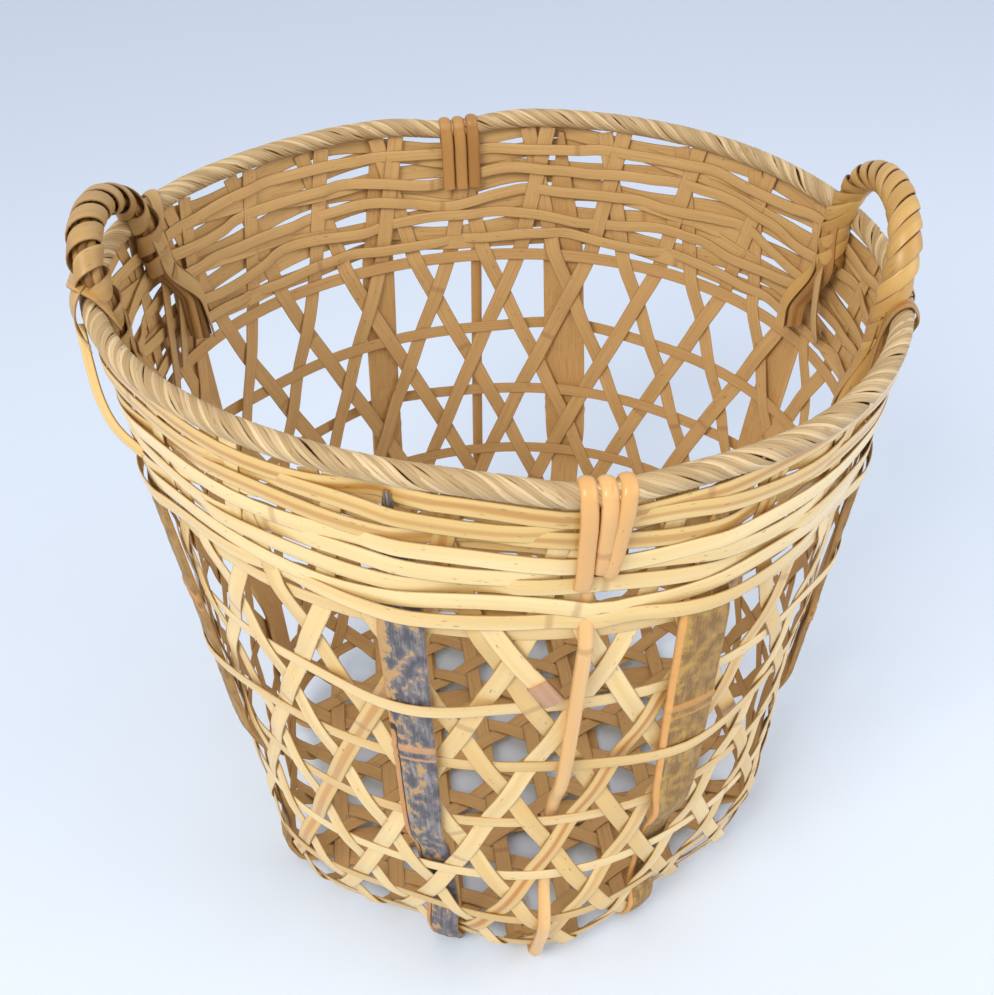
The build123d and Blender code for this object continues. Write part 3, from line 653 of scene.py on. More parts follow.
def lean_on(points, normals):
    """Let both ends of a strip lean on through the rim band."""
    points, normals = points.copy(), normals.copy()
    lowest = int(np.argmin(points[:, 2]))
    for half in (range(lowest), range(len(points) - 1, lowest, -1)):
        turns = {i: math.degrees(math.atan2(points[i][1], points[i][0])) for i in half}
        over_hoop = {i: points[i][2] - around(RINGS[HOOPS - 1], turns[i])[2] for i in half}
        inside = [i for i in half if over_hoop[i] > 0]
        below = [i for i in half if -RUN_UP[0] < over_hoop[i] < -RUN_UP[1]]
        if not inside or not below:
            continue
        way = math.copysign(1, (turns[below[0]] - turns[below[-1]] + 180) % 360 - 180)
        for i in inside:
            height, above = points[i][2], over_hoop[i]
            top = around(border_points, turns[i])[2]
            ring = HOOPS + above / (top - height + above)
            rim_place = on_wall(turns[i], ring, 0)[0]
            offset = np.linalg.norm(points[i][:2]) - np.linalg.norm(rim_place[:2])
            shift = way * math.degrees(math.tan(math.radians(LEAN)) * above / WALL_RADIUS)
            passing = way * PASSING * min(1, above / LANDING)
            points[i] = on_wall(turns[i] + shift, ring, (offset + passing) / MM)[0]
            points[i][2] = min(height, around(border_points, turns[i] + shift)[2])
            normals[i] = np.array(Matrix.Rotation(math.radians(shift), 3, "Z") @ Vector(normals[i]))
    return points, normals


# %% Lay the woven strips
CLIMB_WIDTHS = (1.02, 0.22)    # a strip's width to the left, and how much narrower it is to the right
for family in "abc":
    for row in range(1, 9):
        name = f"strip_{family}_{row}"
        centres, normals, _, _ = strip_line(name)
        points, outs = lean_on(smooth(centres), smooth(normals))
        slant = climbs_right(points)
        lay("woven_" + name, points, outs, weave_bamboo, "woven_strip", [name],
            Width=10.2 * MM, taper=CLIMB_WIDTHS[0] - CLIMB_WIDTHS[1] * slant, slant=slant)
print("woven strips:", len(pieces))

# %% [markdown]
# ## Hoops
# Seven level strips go round the wall and lock the weave, because without them the slanting strips would
# slide. A real hoop is lapped where nobody looks. Each is laid here as a ring without an end, which spares
# a seam that would have to be hidden.

# %% Lay the hoops
for number, (centres, normals) in enumerate(hoops, 1):
    lay(f"woven_hoop_{number}", smooth(centres[:-1], True), smooth(normals[:-1], True), hoop_bamboo,
        "hoop_strip", [f"hoop_{number}"], closed=True, Width=8.2 * MM)
print("pieces so far:", len(pieces))

# %% [markdown]
# ## The rim band
# Eight strips fill the band below the border. Each runs outside five uprights and inside the sixth, and the
# next row does so two uprights further on, so the rows close in on each other and part again. That leaves
# the long lens-shaped gaps that make such a band look alive. Level rings would leave none, so a sine wave
# with the stitch's own length sways each row, and slower waves from a fixed seed keep it from looking ruled.

# %% Lay the rim band
STAKES = 48          # uprights in the band
FIRST_STAKE = 7.25   # direction of the first one, in degrees
STITCH = 6           # uprights in one stitch
SHIFT = 4            # uprights by which each row's wave stands back, which is two forward in a stitch of six
SWAY = 2.9 * MM      # up and down, with the stitch
LIFT = 0.8 * MM      # out and in, with the stitch
OVERLAP = 0.3 * MM   # neighbours lie this far out and in by turns, because they overlap where they meet
WANDER = 1.5 * MM    # up and down, in slow waves
SLOW_WAVES = (2, 3, 5, 9)    # in a round
LOWEST_CALM = 0.4    # the lowest row lies on the hoop, so it sways less
# Where a strip makes way for something: its row, the angle, the width in degrees and how far it moves out.
MAKES_WAY = [(0, 277.8, 4.0, 4.4 * MM), (1, 277.8, 4.0, 2.8 * MM), (7, 251.0, 4.0, -5.0 * MM)]
rng = np.random.default_rng(7)

for row in range(8):
    name = f"band_strip_{row + 1}"
    centres, normals, _, _ = strip_line(name)
    points, outs = smooth(centres[:-1], True), smooth(normals[:-1], True)
    turn = np.degrees(np.arctan2(points[:, 1], points[:, 0])) % 360
    phase = ((turn - FIRST_STAKE) * STAKES / 360 + SHIFT * row) / STITCH * math.tau
    wave = sum(rng.uniform(0.3, 0.8) * np.sin(np.radians(turn) * waves + rng.uniform(0, math.tau))
               for waves in SLOW_WAVES)
    lift = LIFT * np.sin(phase) + OVERLAP * (-1) ** row
    for moved_row, angle, spread, distance in MAKES_WAY:
        if moved_row == row:
            lift = lift + distance * np.exp(-((turn - angle) / spread) ** 2)
    points = pulled_down(points + outs * lift[:, None])
    points[:, 2] += (SWAY * np.sin(phase) + WANDER * wave) * (LOWEST_CALM if row == 0 else 1.0)
    lay("band_" + name, points, outs, band_bamboo, "band_strip", [name], closed=True, Width=10.0 * MM,
        Thickness=0.85 * MM, Crown=0.3 * MM, Unevenness=0.35)
print("pieces so far:", len(pieces))

# %% [markdown]
# ## The inner strips of the band
# Five more strips run inside the uprights and dive behind every third one, so the band is closed from within
# too. Nobody takes care over them: they wander, and cross now and then. They have no solids to follow, so
# they are laid on the wall by angle and ring.

# %% Lay the inner strips
INNER_STRIPS = 5
INNER_FACE = -2.4    # millimetres from the middle of the wall
DIVE = 3.2           # millimetres out, behind an upright
# The dive is a wave, cut off so that it is brief: its height, its turn from strip to strip and its cut.
DIVE_WAVE, DIVE_TURN, DIVE_CUT = 1.8, 2.1, 0.7
UPRIGHTS_PER_DIVE = 3
INNER_ANGLES = np.arange(0, 360, 2.5)
LOWEST_RING, RING_STEP = 7.15, 0.165
# Waves in a round, and how far each one moves a strip, in rings.
DRIFTS = ((4, 0.022), (9, 0.026), (14, 0.014))
EDGE_DRIFT = 0.5     # the lowest and the highest strip drift half as far
for k in range(INNER_STRIPS):
    turn = np.radians(INNER_ANGLES)
    drift = sum(reach * np.sin(turn * waves + rng.uniform(0, math.tau)) for waves, reach in DRIFTS)
    drift = drift * (EDGE_DRIFT if k in (0, INNER_STRIPS - 1) else 1.0)
    dive = np.clip(DIVE_WAVE * np.sin(turn * STAKES / UPRIGHTS_PER_DIVE + DIVE_TURN * k) - DIVE_CUT, 0, 1)
    found = [on_wall(angle, LOWEST_RING + RING_STEP * k + d, out)
             for angle, d, out in zip(INNER_ANGLES, drift, INNER_FACE + DIVE * dive)]
    points, outs = (smooth(np.array(column), True, steps=3) for column in zip(*found))
    lay(f"band_inner_{k + 1}", points, outs, band_bamboo, "band_strip", closed=True, Width=7.4 * MM,
        Thickness=0.85 * MM, Crown=-0.2 * MM, Unevenness=0.4)
print("pieces so far:", len(pieces))

# %% [markdown]
# ## The twisted border
# The border is a bundle of fine splints, twisted like a rope about the rim. A rope can be painted on a round
# bar with a striped bump, but its outline would stay smooth. Sixteen real splints are laid here, in two
# strands, with a little stray so that they bunch and part as hand-twisted ones do.

# %% Twist the border
SPLINTS = 8    # in one strand
border_outs = border_points * (1, 1, 0)
border_outs /= np.linalg.norm(border_outs, axis=1)[:, None]
# Inner splints of the culm, twisted while wet. They have no skin, so they look dull and grainy, and their
# darkened edges, partly cut fibre and partly painted shade between the splints, draw the lines of the twist.
rope_splint = split_bamboo("twisted bamboo splints", "#D9C197", "#A98D63", "#BFA173", width=2.4 * MM,
                           gloss=0.55, edge=0.95)
for strand in (1, 2):
    lay(f"border_splints_{strand}", border_points, border_outs, rope_splint, "border_rope",
        [f"border_strand_{strand}"], closed=True, Strips=SPLINTS, Turns=26.0, Radius=4.7 * MM,
        Phase=strand / (2 * SPLINTS), Width=2.3 * MM, Thickness=1.5 * MM, Crown=0.2 * MM, Squareness=0.8,
        Stray=0.9, Corners=8, Unevenness=0.5)
print("border length", round(float(np.linalg.norm(np.diff(border_points, axis=0), axis=1).sum()), 3), "m")

# %% [markdown]
# ## How a handle settles
# A handle is a bundle of canes, bent into an arch, with its legs pushed down inside the band. An arch of
# cane has some spring in it, so it has settled outwards, forwards and down from the stiff line in the frame.
# The change fades out towards the legs, which the band holds fast.

# %% Settle an arch
SETTLE_OUT, SETTLE_DOWN = 9.0 * MM, 6.0 * MM    # at the top of an arch
SETTLE_FORWARD, SETTLE_NARROWER = 6.0 * MM, 0.15
FADE = 35 * MM    # height below the neck over which the change fades
NECK = 24         # samples of a leg below the arch


def settle(line, outward_sign):
    """A handle's line, eased outwards, forwards and down above the band."""
    neck, crest = line[NECK][2], line[:, 2].max()
    share = np.clip((line[:, 2] - neck + FADE) / FADE, 0, 1)
    share = (share * share * (3 - 2 * share))[:, None]
    height = np.clip((line[:, 2] - neck) / (crest - neck), 0, 1)[:, None]
    narrow = line * (0, -SETTLE_NARROWER, 0)
    shift = np.array([outward_sign * SETTLE_OUT, -SETTLE_FORWARD, 0])
    return line + (narrow + shift) * share + np.array([0, 0, -SETTLE_DOWN]) * height


# %% [markdown]
# ## Handles
# Strips are wound round the canes side by side, which is why the turns lean, and their ends run down the legs
# as broad straps. A striped tube would do for a distant handle, but here the turns overlap at the edges and
# the canes show between the straps, so the canes, the winding and the straps are all laid one by one.

# %% Build the handles
# The same split bamboo, aged by hands: oiled to gold on one handle, and drier and greyer on the other.
golden_strip = split_bamboo("split bamboo, wound on the handles", "#CDA662", "#AC8146", "#B48D54",
                            streak="#9C6B34", streak_share=0.5, width=9 * MM, gloss=0.36, edge=0.8)
tan_strip = split_bamboo("aged split bamboo, wound on the handles", "#C9A973", "#A8834F", "#B08B55",
                         streak="#A67C46", streak_share=0.4, width=9 * MM, gloss=0.42, edge=0.8)
# Thin whole canes that grip and shade each other. Their colour is dark and matt, partly painted shade,
# so that the winding stands out from them.
cane_bundle = split_bamboo("cane bundle in the handles", "#B58A50", "#7C5527", "#8A6233", width=6 * MM,
                           gloss=0.55)
# For each hand: strips side by side, turns, a strip's width, the radius of the winding and its finish.
WINDINGS = {"left": (2, 6.6, 10.6 * MM, 7.6 * MM, tan_strip),
            "right": (3, 6.2, 8.2 * MM, 7.2 * MM, golden_strip)}
CANES = 6
LAP = 4    # samples by which the winding runs down over each leg
arches = {}
for hand, outward_sign in (("left", -1), ("right", 1)):
    count, turns, width, radius, finish = WINDINGS[hand]
    core = ring_centres(f"handle_core_{hand}", 6)
    if core[0][1] > core[-1][1]:
        core = core[::-1]  # start at the leg nearer the front
    bend = arches[hand] = settle(smooth(core, steps=12), outward_sign)
    outs = np.tile([float(outward_sign), 0.0, 0.15], (len(bend), 1))
    lay(f"handle_canes_{hand}", bend, outs, cane_bundle, "handle_core", [f"handle_core_{hand}"], Strips=CANES,
        Radius=4.0 * MM, Width=5.0 * MM, Thickness=5.0 * MM, Squareness=1.0, Corners=10, Turns=0.6, Crown=0.0)
    wound = slice(NECK - LAP, LAP - NECK)
    lay(f"handle_winding_{hand}", bend[wound], outs[wound], finish, "handle_strip", [f"handle_wrap_{hand}"],
        Strips=count, Turns=turns, Radius=radius, Width=width, Thickness=1.1 * MM, Crown=0.6 * MM, Stray=0.5,
        Unevenness=0.3)
    for end, leg, way in (("near", bend[:NECK + 2 * LAP], 1), ("far", bend[-NECK - 2 * LAP:], -1)):
        for strap, where in ((1, -0.11), (2, 0.11)):
            lay(f"handle_strap_{strap}_{end}_{hand}", leg, -outs[:len(leg)], finish, "handle_strip",
                Turns=0.16 * way, Phase=where, Radius=radius - 0.3 * MM, Width=9.5 * MM, Thickness=1.0 * MM,
                Crown=0.5 * MM)
    tie, tie_normals, _, _ = strip_line(f"handle_lashing_{hand}")
    lay(f"handle_tie_{hand}", smooth(tie, steps=8), smooth(tie_normals, steps=8), finish, "handle_strip",
        [f"handle_lashing_{hand}"], Width=9.2 * MM, Thickness=1.1 * MM)
print("handle heights", [round(float(bend[:, 2].max()), 3) for bend in arches.values()], "m")

# %% [markdown]
# ## Slats
# Four slats of thick bamboo carry the basket. Each one still has its bark outside and its smooth, tan inner
# wall inside, with a ring where the culm had a node. Such a piece is not a swept bar: its bark is crowned,
# its edges are split and its ring stands up, so its mesh is built row by row. First come the two tools for
# that: even steps along a line, and a closed skin through rows of points.

# %% Rows and skins
def even_steps(points, step, *others):
    """Resample a line, and what belongs to its points, at even steps."""
    run = np.concatenate([[0], np.cumsum(np.linalg.norm(np.diff(points, axis=0), axis=1))])
    at = np.linspace(0, run[-1], int(run[-1] / step) + 1)
    columns = [np.reshape(v, (len(points), -1)) for v in (points, *others)]
    return [np.stack([np.interp(at, run, c) for c in v.T], axis=1) for v in columns] + [at]


def loft(name, rows, **attributes):
    """A closed skin through rows of points, one ring of points to a row, with values for its materials."""
    count, ring_size = rows.shape[:2]
    faces = [(i * ring_size + k, i * ring_size + (k + 1) % ring_size,
              (i + 1) * ring_size + (k + 1) % ring_size, (i + 1) * ring_size + k)
             for i in range(count - 1) for k in range(ring_size)]
    faces += [tuple(range(ring_size)), tuple((count - 1) * ring_size + k for k in range(ring_size))]
    skin = bmesh.new()
    corners = [skin.verts.new(p) for p in rows.reshape(-1, 3)]
    for face in faces:
        skin.faces.new([corners[k] for k in face]).smooth = True
    bmesh.ops.recalc_face_normals(skin, faces=skin.faces)
    mesh = bpy.data.meshes.new(name)
    skin.to_mesh(mesh)
    skin.free()
    for label, values in attributes.items():
        spread = np.broadcast_to(values, (count, ring_size)).ravel().astype(np.float32)
        mesh.attributes.new(label, "FLOAT", "POINT").data.foreach_set("value", spread)
    return mesh


# %% [markdown]
# ## The form of a slat
# A row goes over the bark from edge to edge and back over the inner wall. The bark side falls away towards
# its edges, swells at the node ring and has a narrow groove where the bark has split. A little roughness
# from a fixed seed, smoothed along the grain, keeps the light from running down it in one clean line.

# %% Sizes of a slat
SLAT_STEP = 2.0 * MM
SLAT_CROWN = 1.1 * MM      # how far a slat's edges lie below the middle of its bark
FULL_WIDTH = 20 * MM       # a slat narrower than this is a tip, and its relief fades with it
BARK_ROUGHNESS = 0.22 * MM
SPLIT_AT = 0.7             # the place across the slat where the bark has split
SPLIT_DEPTH, SPLIT_FADE = 0.9 * MM, 8 * MM
RING_WIDTH, RING_LIFT = 2.2 * MM, 0.9 * MM
SECOND_RING = (8 * MM, 1.4 * MM, 0.55)    # how far past the first, its width and its share of the height
FAR_RING_HEIGHT = 0.19     # of the ring on the other leg
RING_SPREAD = 0.5 * MM     # how far the slat is wider to each side at the ring
EDGE_FALL = 0.35 * MM      # how much further the outermost points fall, which rounds the edge
EDGE_RISE = 0.3 * MM       # the same from the inner wall
SIDE_WOBBLE = 0.025        # how unevenly the sides were split, as a share of the width
WOBBLE_RUN, ROUGH_RUN = 61, 7    # rows over which the wobble and the roughness are evened out
WOBBLE_SCALE, ROUGH_SCALE = 6, 2.2    # what brings each back to its size after that
BARK_SIDE = [-1, -0.94, -0.8, -0.6, -0.35, -0.1, 0.15, 0.4, 0.58, 0.665, SPLIT_AT, 0.735, 0.85, 0.94, 1]
INNER_SIDE = [1, 0.93, 0.6, 0.2, -0.2, -0.6, -0.93, -1]
ACROSS = np.array(BARK_SIDE + INNER_SIDE)
IS_BARK = np.arange(len(ACROSS)) < len(BARK_SIDE)
print("a row of a slat has", len(ACROSS), "points")

# %% [markdown]
# ## From sizes to a mesh
# The line of a slat is first walked at even steps, so that relief comes out alike on its whole length. Each
# row is then a line of points across it, pushed out by the relief. Points that would sink below the floor are
# set on it, because the basket stands on its slats.

# %% Form a slat
def rings_along(along, *places):
    """The height of the node rings, with the smaller ring past each, from 0 to 1."""
    past, width, share = SECOND_RING
    return sum(np.exp(-((along - at) / RING_WIDTH) ** 2) + share * np.exp(-((along - at - past) / width) ** 2)
               for at in places)[:, None]


def slat_mesh(name, leg_angle, ring_height, split_height, seed):
    """A slat's skin. Its first leg stands at leg_angle and has a node ring at ring_height."""
    centres, normals, widths, thicknesses = strip_line(name)
    start = math.degrees(math.atan2(centres[0][1], centres[0][0])) % 360
    if abs(start - leg_angle) > 20:
        centres, normals, widths, thicknesses = (v[::-1] for v in (centres, normals, widths, thicknesses))
    points, outs, wide, thick, _ = even_steps(centres, 10 * MM, normals, widths, thicknesses)
    points, outs, wide, thick = (smooth(v, steps=6) for v in (points, outs, wide, thick))
    points, outs, wide, thick, along = even_steps(points, SLAT_STEP, outs, wide, thick)
    sides = np.cross(np.gradient(points, axis=0), outs)
    sides /= np.linalg.norm(sides, axis=1)[:, None]
    on_first_leg = along < along[-1] / 2
    ring = rings_along(along, along[np.argmin(np.abs(points[:, 2] - ring_height) + ~on_first_leg)],
                       along[np.argmin(np.abs(points[:, 2] - FAR_RING_HEIGHT) + on_first_leg)])
    split = (np.clip((split_height - points[:, 2]) / SPLIT_FADE, 0, 1) * on_first_leg)[:, None]
    draw = np.random.default_rng(seed)
    wobble = draw.normal(0, 1, len(points) + WOBBLE_RUN - 1)
    wobble = np.convolve(wobble, np.hanning(WOBBLE_RUN) / WOBBLE_SCALE, "valid")[:, None]
    rough = draw.normal(0, 1, (len(points), len(ACROSS)))
    rough = np.apply_along_axis(np.convolve, 0, rough, np.hanning(ROUGH_RUN) / ROUGH_SCALE, "same")
    rough = rough * BARK_ROUGHNESS
    slim = np.minimum(1, wide / FULL_WIDTH)
    corner = np.abs(ACROSS) == 1
    half = wide / 2 * (1 + SIDE_WOBBLE * wobble) + RING_SPREAD * ring * slim
    crown = 0.2 * MM - SLAT_CROWN * ACROSS ** 2 - EDGE_FALL * corner
    groove = SPLIT_DEPTH * split * (np.abs(ACROSS - SPLIT_AT) < 0.01)
    bark_lift = thick / 2 + slim * (crown + RING_LIFT * ring) - groove + rough * (np.abs(ACROSS) < 0.9)
    lift = np.where(IS_BARK, bark_lift, EDGE_RISE * corner - thick / 2)
    rows = points[:, None] + sides[:, None] * (half * ACROSS)[..., None] + outs[:, None] * lift[..., None]
    rows[..., 2] = np.maximum(rows[..., 2], 0)
    beside = np.clip((ACROSS - SPLIT_AT) / 0.04, 0, 1)
    return loft(name, rows, along=along[:, None], across=ACROSS, bark=IS_BARK, ring=ring,
                split=split * beside)


# %% [markdown]
# ## The finish of bark
# Old bark is flaked, fibrous and dull. Fibres and stains darken it, scuffs lighten it in patches, partly real
# wear and partly a painted sheen, chips lay the wood open, and beside the node ring and along the split edge
# the wood is bare, with painted shade in the crack. Layers of masks, each with its own real size in
# millimetres, weather it from one recipe. Painting by hand would have to be done four times.

# %% Mix bark
HALF_SLAT = 12 * MM
FIBRES, FLAKES, SCUFF_AND_SHEEN, GRAIN = ((18 * MM, 0.7 * MM, 5.0), (9 * MM, 6 * MM, 7.0), (22 * MM, 5 * MM, 4.0),
                                 (2 * MM, 1.2 * MM, 2.0))
# The near-black laid along the bark's split is painted shade in the crack.
CRACK_SHADE = "#2B1A12"


def old_bark(name, skin, sheen, shadow, flake, ring_tone, edge_tone, inner, stain_share=0.8, edge_from=0.9,
             flakes=0.5, gloss=0.5):
    """Weathered culm bark: flaked, fibrous and dull, with a smooth tan inner wall."""
    material, tree = start_material(name)
    along, across, is_bark, ring, split = (
        add(tree, "ShaderNodeAttribute", attribute_name=label).outputs["Fac"]
        for label in ("along", "across", "bark", "ring", "split"))
    metres = add(tree, "MULTIPLY", {0: across, 1: HALF_SLAT})
    place = add(tree, "ShaderNodeCombineXYZ", {0: along, 1: metres})
    fibres, flaking, scuff_and_sheen_noise, grain = drawn_out(tree, place, FIBRES, FLAKES, SCUFF_AND_SHEEN, GRAIN)
    stain = add(tree, "MULTIPLY_ADD", {0: fibres, 1: 0.5, 2: flaking})
    dark = add(tree, "ShaderNodeMapRange", {0: stain, 1: 0.86, 2: 0.62, 4: stain_share}, **EASED)
    # Lighter patches of the sheen colour: partly scuffed wear, partly a painted sheen.
    wear_and_sheen = add(tree, "ShaderNodeMapRange", {0: scuff_and_sheen_noise, 1: 0.54, 2: 0.7, 4: 0.6}, **EASED)
    uneven = add(tree, "MULTIPLY_ADD", {0: across, 1: 0.07, 2: flaking})
    torn = add(tree, "MULTIPLY_ADD", {0: grain, 1: 0.22, 2: uneven})
    chips = add(tree, "ShaderNodeMapRange", {0: torn, 1: 1.14 - flakes, 2: 1.22 - flakes, 4: 0.85})
    near_ring = add(tree, "ShaderNodeMapRange", {0: ring, 1: 0.12, 2: 0.5, 4: 0.9}, **EASED)
    margin = add(tree, "ShaderNodeMapRange", {0: across, 1: edge_from - 0.03, 2: edge_from + 0.03}, **EASED)
    bare = add(tree, "MAXIMUM", {0: margin, 1: split})
    # The split value rises from 0 to 1 across the crack, so the crack is where it is near a half. A
    # near-black painted shade is laid there.
    beside = add(tree, "SUBTRACT", {0: split, 1: 0.5})
    beside = add(tree, "ABSOLUTE", {0: beside})
    crack_shade = add(tree, "ShaderNodeMapRange", {0: beside, 1: 0.45, 2: 0.2, 4: 0.95}, **EASED)
    outside = colour(skin)
    for mask, code in ((dark, shadow), (wear_and_sheen, sheen), (chips, flake), (near_ring, ring_tone),
                       (bare, edge_tone), (crack_shade, CRACK_SHADE)):
        outside = add(tree, "ShaderNodeMix", {0: mask, 6: outside, 7: colour(code)}, data_type="RGBA")
    pores = add(tree, "ShaderNodeMapRange", {0: fibres, 1: 0.4, 2: 0.7, 4: 0.5}, **EASED)
    inside = add(tree, "ShaderNodeMix", {0: pores, 6: colour(inner), 7: colour(PORE)}, data_type="RGBA")
    shade = add(tree, "ShaderNodeMix", {0: is_bark, 6: inside, 7: outside}, data_type="RGBA")
    roughness = add(tree, "MULTIPLY_ADD", {0: chips, 1: 0.25, 2: gloss})
    relief = add(tree, "MULTIPLY_ADD", {0: chips, 1: 0.8, 2: fibres})
    bump = add(tree, "ShaderNodeBump", {"Strength": 0.7, "Distance": 0.5 * MM, "Height": relief})
    finish_material(tree, shade, roughness, bump)
    return material


# %% [markdown]
# ## Four slats
# One slat kept the blue-grey bark of a culm that stood in the weather, and the other three are brown. The
# angle of a leg says which slat it is, and two heights place its ring and its split.

# %% Cut the slats
# Bark that stood in the weather: its grey film dulls the sheen, and tan wood shows where it has flaked off.
blue_bark = old_bark("weathered bamboo bark, blue-grey", "#7C777A", "#B3AAA4", "#3F3C43", "#C59C60",
                     "#C9966A", "#C8905A", "#C79D63")
# Bark that dried out of the rain: brown and rough, with an orange edge where the knife went through.
brown_bark = old_bark("weathered bamboo bark, brown", "#A77F40", "#B59A66", "#65481F", "#BC9650", "#C8904C",
                      "#E0A45E", "#C79D63", stain_share=0.6, edge_from=0.8, flakes=0.47, gloss=0.6)
# For each slat: the angle of its first leg, the height of the node ring there, the height below which the
# bark has split along its edge, and its bark.
SLATS = {"slat_left": (251, 0.219, 0.238, blue_bark), "slat_right": (296, 0.229, 0.0, brown_bark),
         "slat_front": (206, 0.255, 0.0, brown_bark), "slat_back": (161, 0.262, 0.0, brown_bark)}
for seed, (name, (leg_angle, ring_height, split_height, bark)) in enumerate(SLATS.items()):
    mesh = slat_mesh(name, leg_angle, ring_height, split_height, seed)
    mesh.materials.append(bark)
    keep(f"{name}_bark", mesh, [name])
print("slats cut, with", sum(len(pieces[f"{name}_bark"].data.polygons) for name in SLATS), "faces")

# %% [markdown]
# ## Round cane
# Three turns of round cane tie the band to the border at the front and at the back, and the end of one of
# them runs down the wall and under the foot. A bundle of plain tubes would float over the rim, so each turn
# is pressed down on it, flattened where it lies close and thinned where its end dives under the band.

# %% The turns of cane
CANE = 7.4 * MM            # the tail's diameter
WRAP_THICKNESS = 4.4 * MM  # the turns are half round, so that they lie close
# Whole cane keeps its hard, shiny skin all round, so it gives the eye a longer highlight than split bamboo.
# It has no split edge, so the slight darkening of its sides is painted shade.
round_cane = split_bamboo("whole round cane", "#F0C88C", "#D9A768", "#E0B274", width=CANE, gloss=0.32,
                          edge=0.2)
# The same cane, worn flat, so its highlight is broad and weak. It is coloured darker and browner than at the
# front, partly browned by hands that reached in over it and partly painted shade.
back_cane = split_bamboo("flattened cane", "#C79A5C", "#A67840", "#B98C50", width=CANE, gloss=0.4, edge=0.6)
EASE = {"front": 5.5 * MM, "back": 0.0}  # how far the three turns ease along the rim
# For each turn: how far its outer end moves along the rim, and how far down.
WRAP_ENDS = {"front": ((-1.5 * MM, -9.0 * MM), (-2.5 * MM, 1.0 * MM), (-9.0 * MM, -1.0 * MM)),
             "back": ((1.5 * MM, 2.0 * MM), (0.0, 0.0), (-1.5 * MM, 1.0 * MM))}
BACK_TRIM = 8 * MM         # the turns at the back end this much higher inside
BEND_DEPTH = 12 * MM       # below the rim's middle, where a turn has straightened
PRESS, PRESS_OVER = 1.4 * MM, 2.4 * MM    # how far a turn is pressed in, and how much more over the rim
DIVE_IN = 5.0 * MM         # how far its end dives between two strips


def press_on(line, where, aside, lower):
    """A turn pressed down on the rim: its line, the way its skin faces, and how far it has come out."""
    pivot = around(border_points, math.degrees(math.atan2(line[0][1], line[0][0])))
    from_rim = line - pivot
    over = np.clip(1 + from_rim[:, 2:] / BEND_DEPTH, 0, 1)
    outs = from_rim / np.linalg.norm(from_rim, axis=1)[:, None]
    radial = pivot * (1, 1, 0) / np.linalg.norm(pivot[:2])
    facing = np.where((from_rim @ radial)[:, None] > 0, radial, -radial)
    outs = outs * over + facing * (1 - over)
    line = line - outs * (PRESS + PRESS_OVER * over)
    share = np.clip(np.arange(len(line)) / len(line) * 2 - 1, 0, 1)[:, None] ** 2
    along_rim = np.cross([0, 0, 1], radial)
    line = line + along_rim * (EASE[where] + share * aside) + share * np.array([0, 0, lower])
    return line - radial * share ** 4 * DIVE_IN, outs, share[:, 0]


# %% [markdown]
# ## Three turns each
# The line of a turn comes from the frame, starting inside the band. At the back the turns end higher inside,
# so their first stretch is cut off. The second and the third turn are thinned where their ends dive.

# %% Wind a set of turns
def wind_turns(where, finish):
    """The three turns over the border."""
    for turn_number, (aside, lower) in enumerate(WRAP_ENDS[where], 1):
        name = f"cane_wrap_{where}_{turn_number}"
        line = pulled_down(smooth(ring_centres(name, 6), steps=8))
        if np.hypot(*line[0][:2]) > np.hypot(*line[-1][:2]):
            line = line[::-1]  # start inside the band
        if where == "back":
            line = line[np.argmax(line[:, 2] > line[0][2] + BACK_TRIM):]
        line, outs, share = press_on(line, where, aside, lower)
        lay(f"{name}_cane", line, outs, finish, "cane", [name], Width=8.0 * MM, Thickness=WRAP_THICKNESS,
            Crown=0.6 * MM, Squareness=0.85, Corners=16, Unevenness=0.15,
            taper=1 - 0.35 * np.clip(share * 6 - 5, 0, 1) * (turn_number > 1))


# %% [markdown]
# ## The tails
# The front tail leans as it runs down, and its top goes up behind the two lowest strips of the band, where
# it is held. A node stands out on each tail as a slight swelling, which a change of the radius gives without
# a second piece.

# %% Wind the cane and run it down
TAIL_LEAN = ((0.0, -9 * MM), (0.06, -4 * MM), (0.15, 0.0), (0.31, 8 * MM))    # at each height, how far aside
HIDDEN_TOP = ((0.5, 7.42, -1.2), (0.2, 7.2, -1.8))    # degrees from the tail, ring and millimetres out
TUCK_HEIGHT, TUCK_IN = 0.05, 8 * MM    # below this height the tail turns in under the foot
KNOT_HEIGHT, KNOT_WIDTH, KNOT_SWELL = 0.276, 2.5 * MM, 0.14


def flat_direction(line):
    """The level direction from the basket's axis to each point."""
    return line * (1, 1, 0) / np.linalg.norm(line * (1, 1, 0), axis=1)[:, None]


def run_tail(where, finish):
    """The long end that runs down the wall."""
    name = f"cane_tail_{where}"
    line = smooth(ring_centres(name, 6), steps=10)
    if line[0][2] < line[-1][2]:
        line = line[::-1]  # start at the band
    if where == "front":
        heights, asides = zip(*TAIL_LEAN)
        aside = np.interp(line[:, 2], heights, asides)
        line = line + np.cross([0, 0, 1], flat_direction(line)) * aside[:, None]
        top = math.degrees(math.atan2(line[0][1], line[0][0]))
        hidden = [on_wall(top + turn, ring, out)[0] for turn, ring, out in HIDDEN_TOP]
        line = np.concatenate([smooth(np.array([*hidden, line[3], line[8]]), steps=5)[:-1], line[8:]])
        line = line - np.interp(line[:, 2:], [0.0, TUCK_HEIGHT], [TUCK_IN, 0.0]) * flat_direction(line)
    knot = np.exp(-((line[:, 2] - KNOT_HEIGHT) / KNOT_WIDTH) ** 2)
    lay(f"{name}_cane", line, flat_direction(line), finish, "cane", [name], Width=CANE, Thickness=CANE * 0.9,
        Crown=0.0, Squareness=0.95, Corners=14, Unevenness=0.15, taper=1 + KNOT_SWELL * knot)


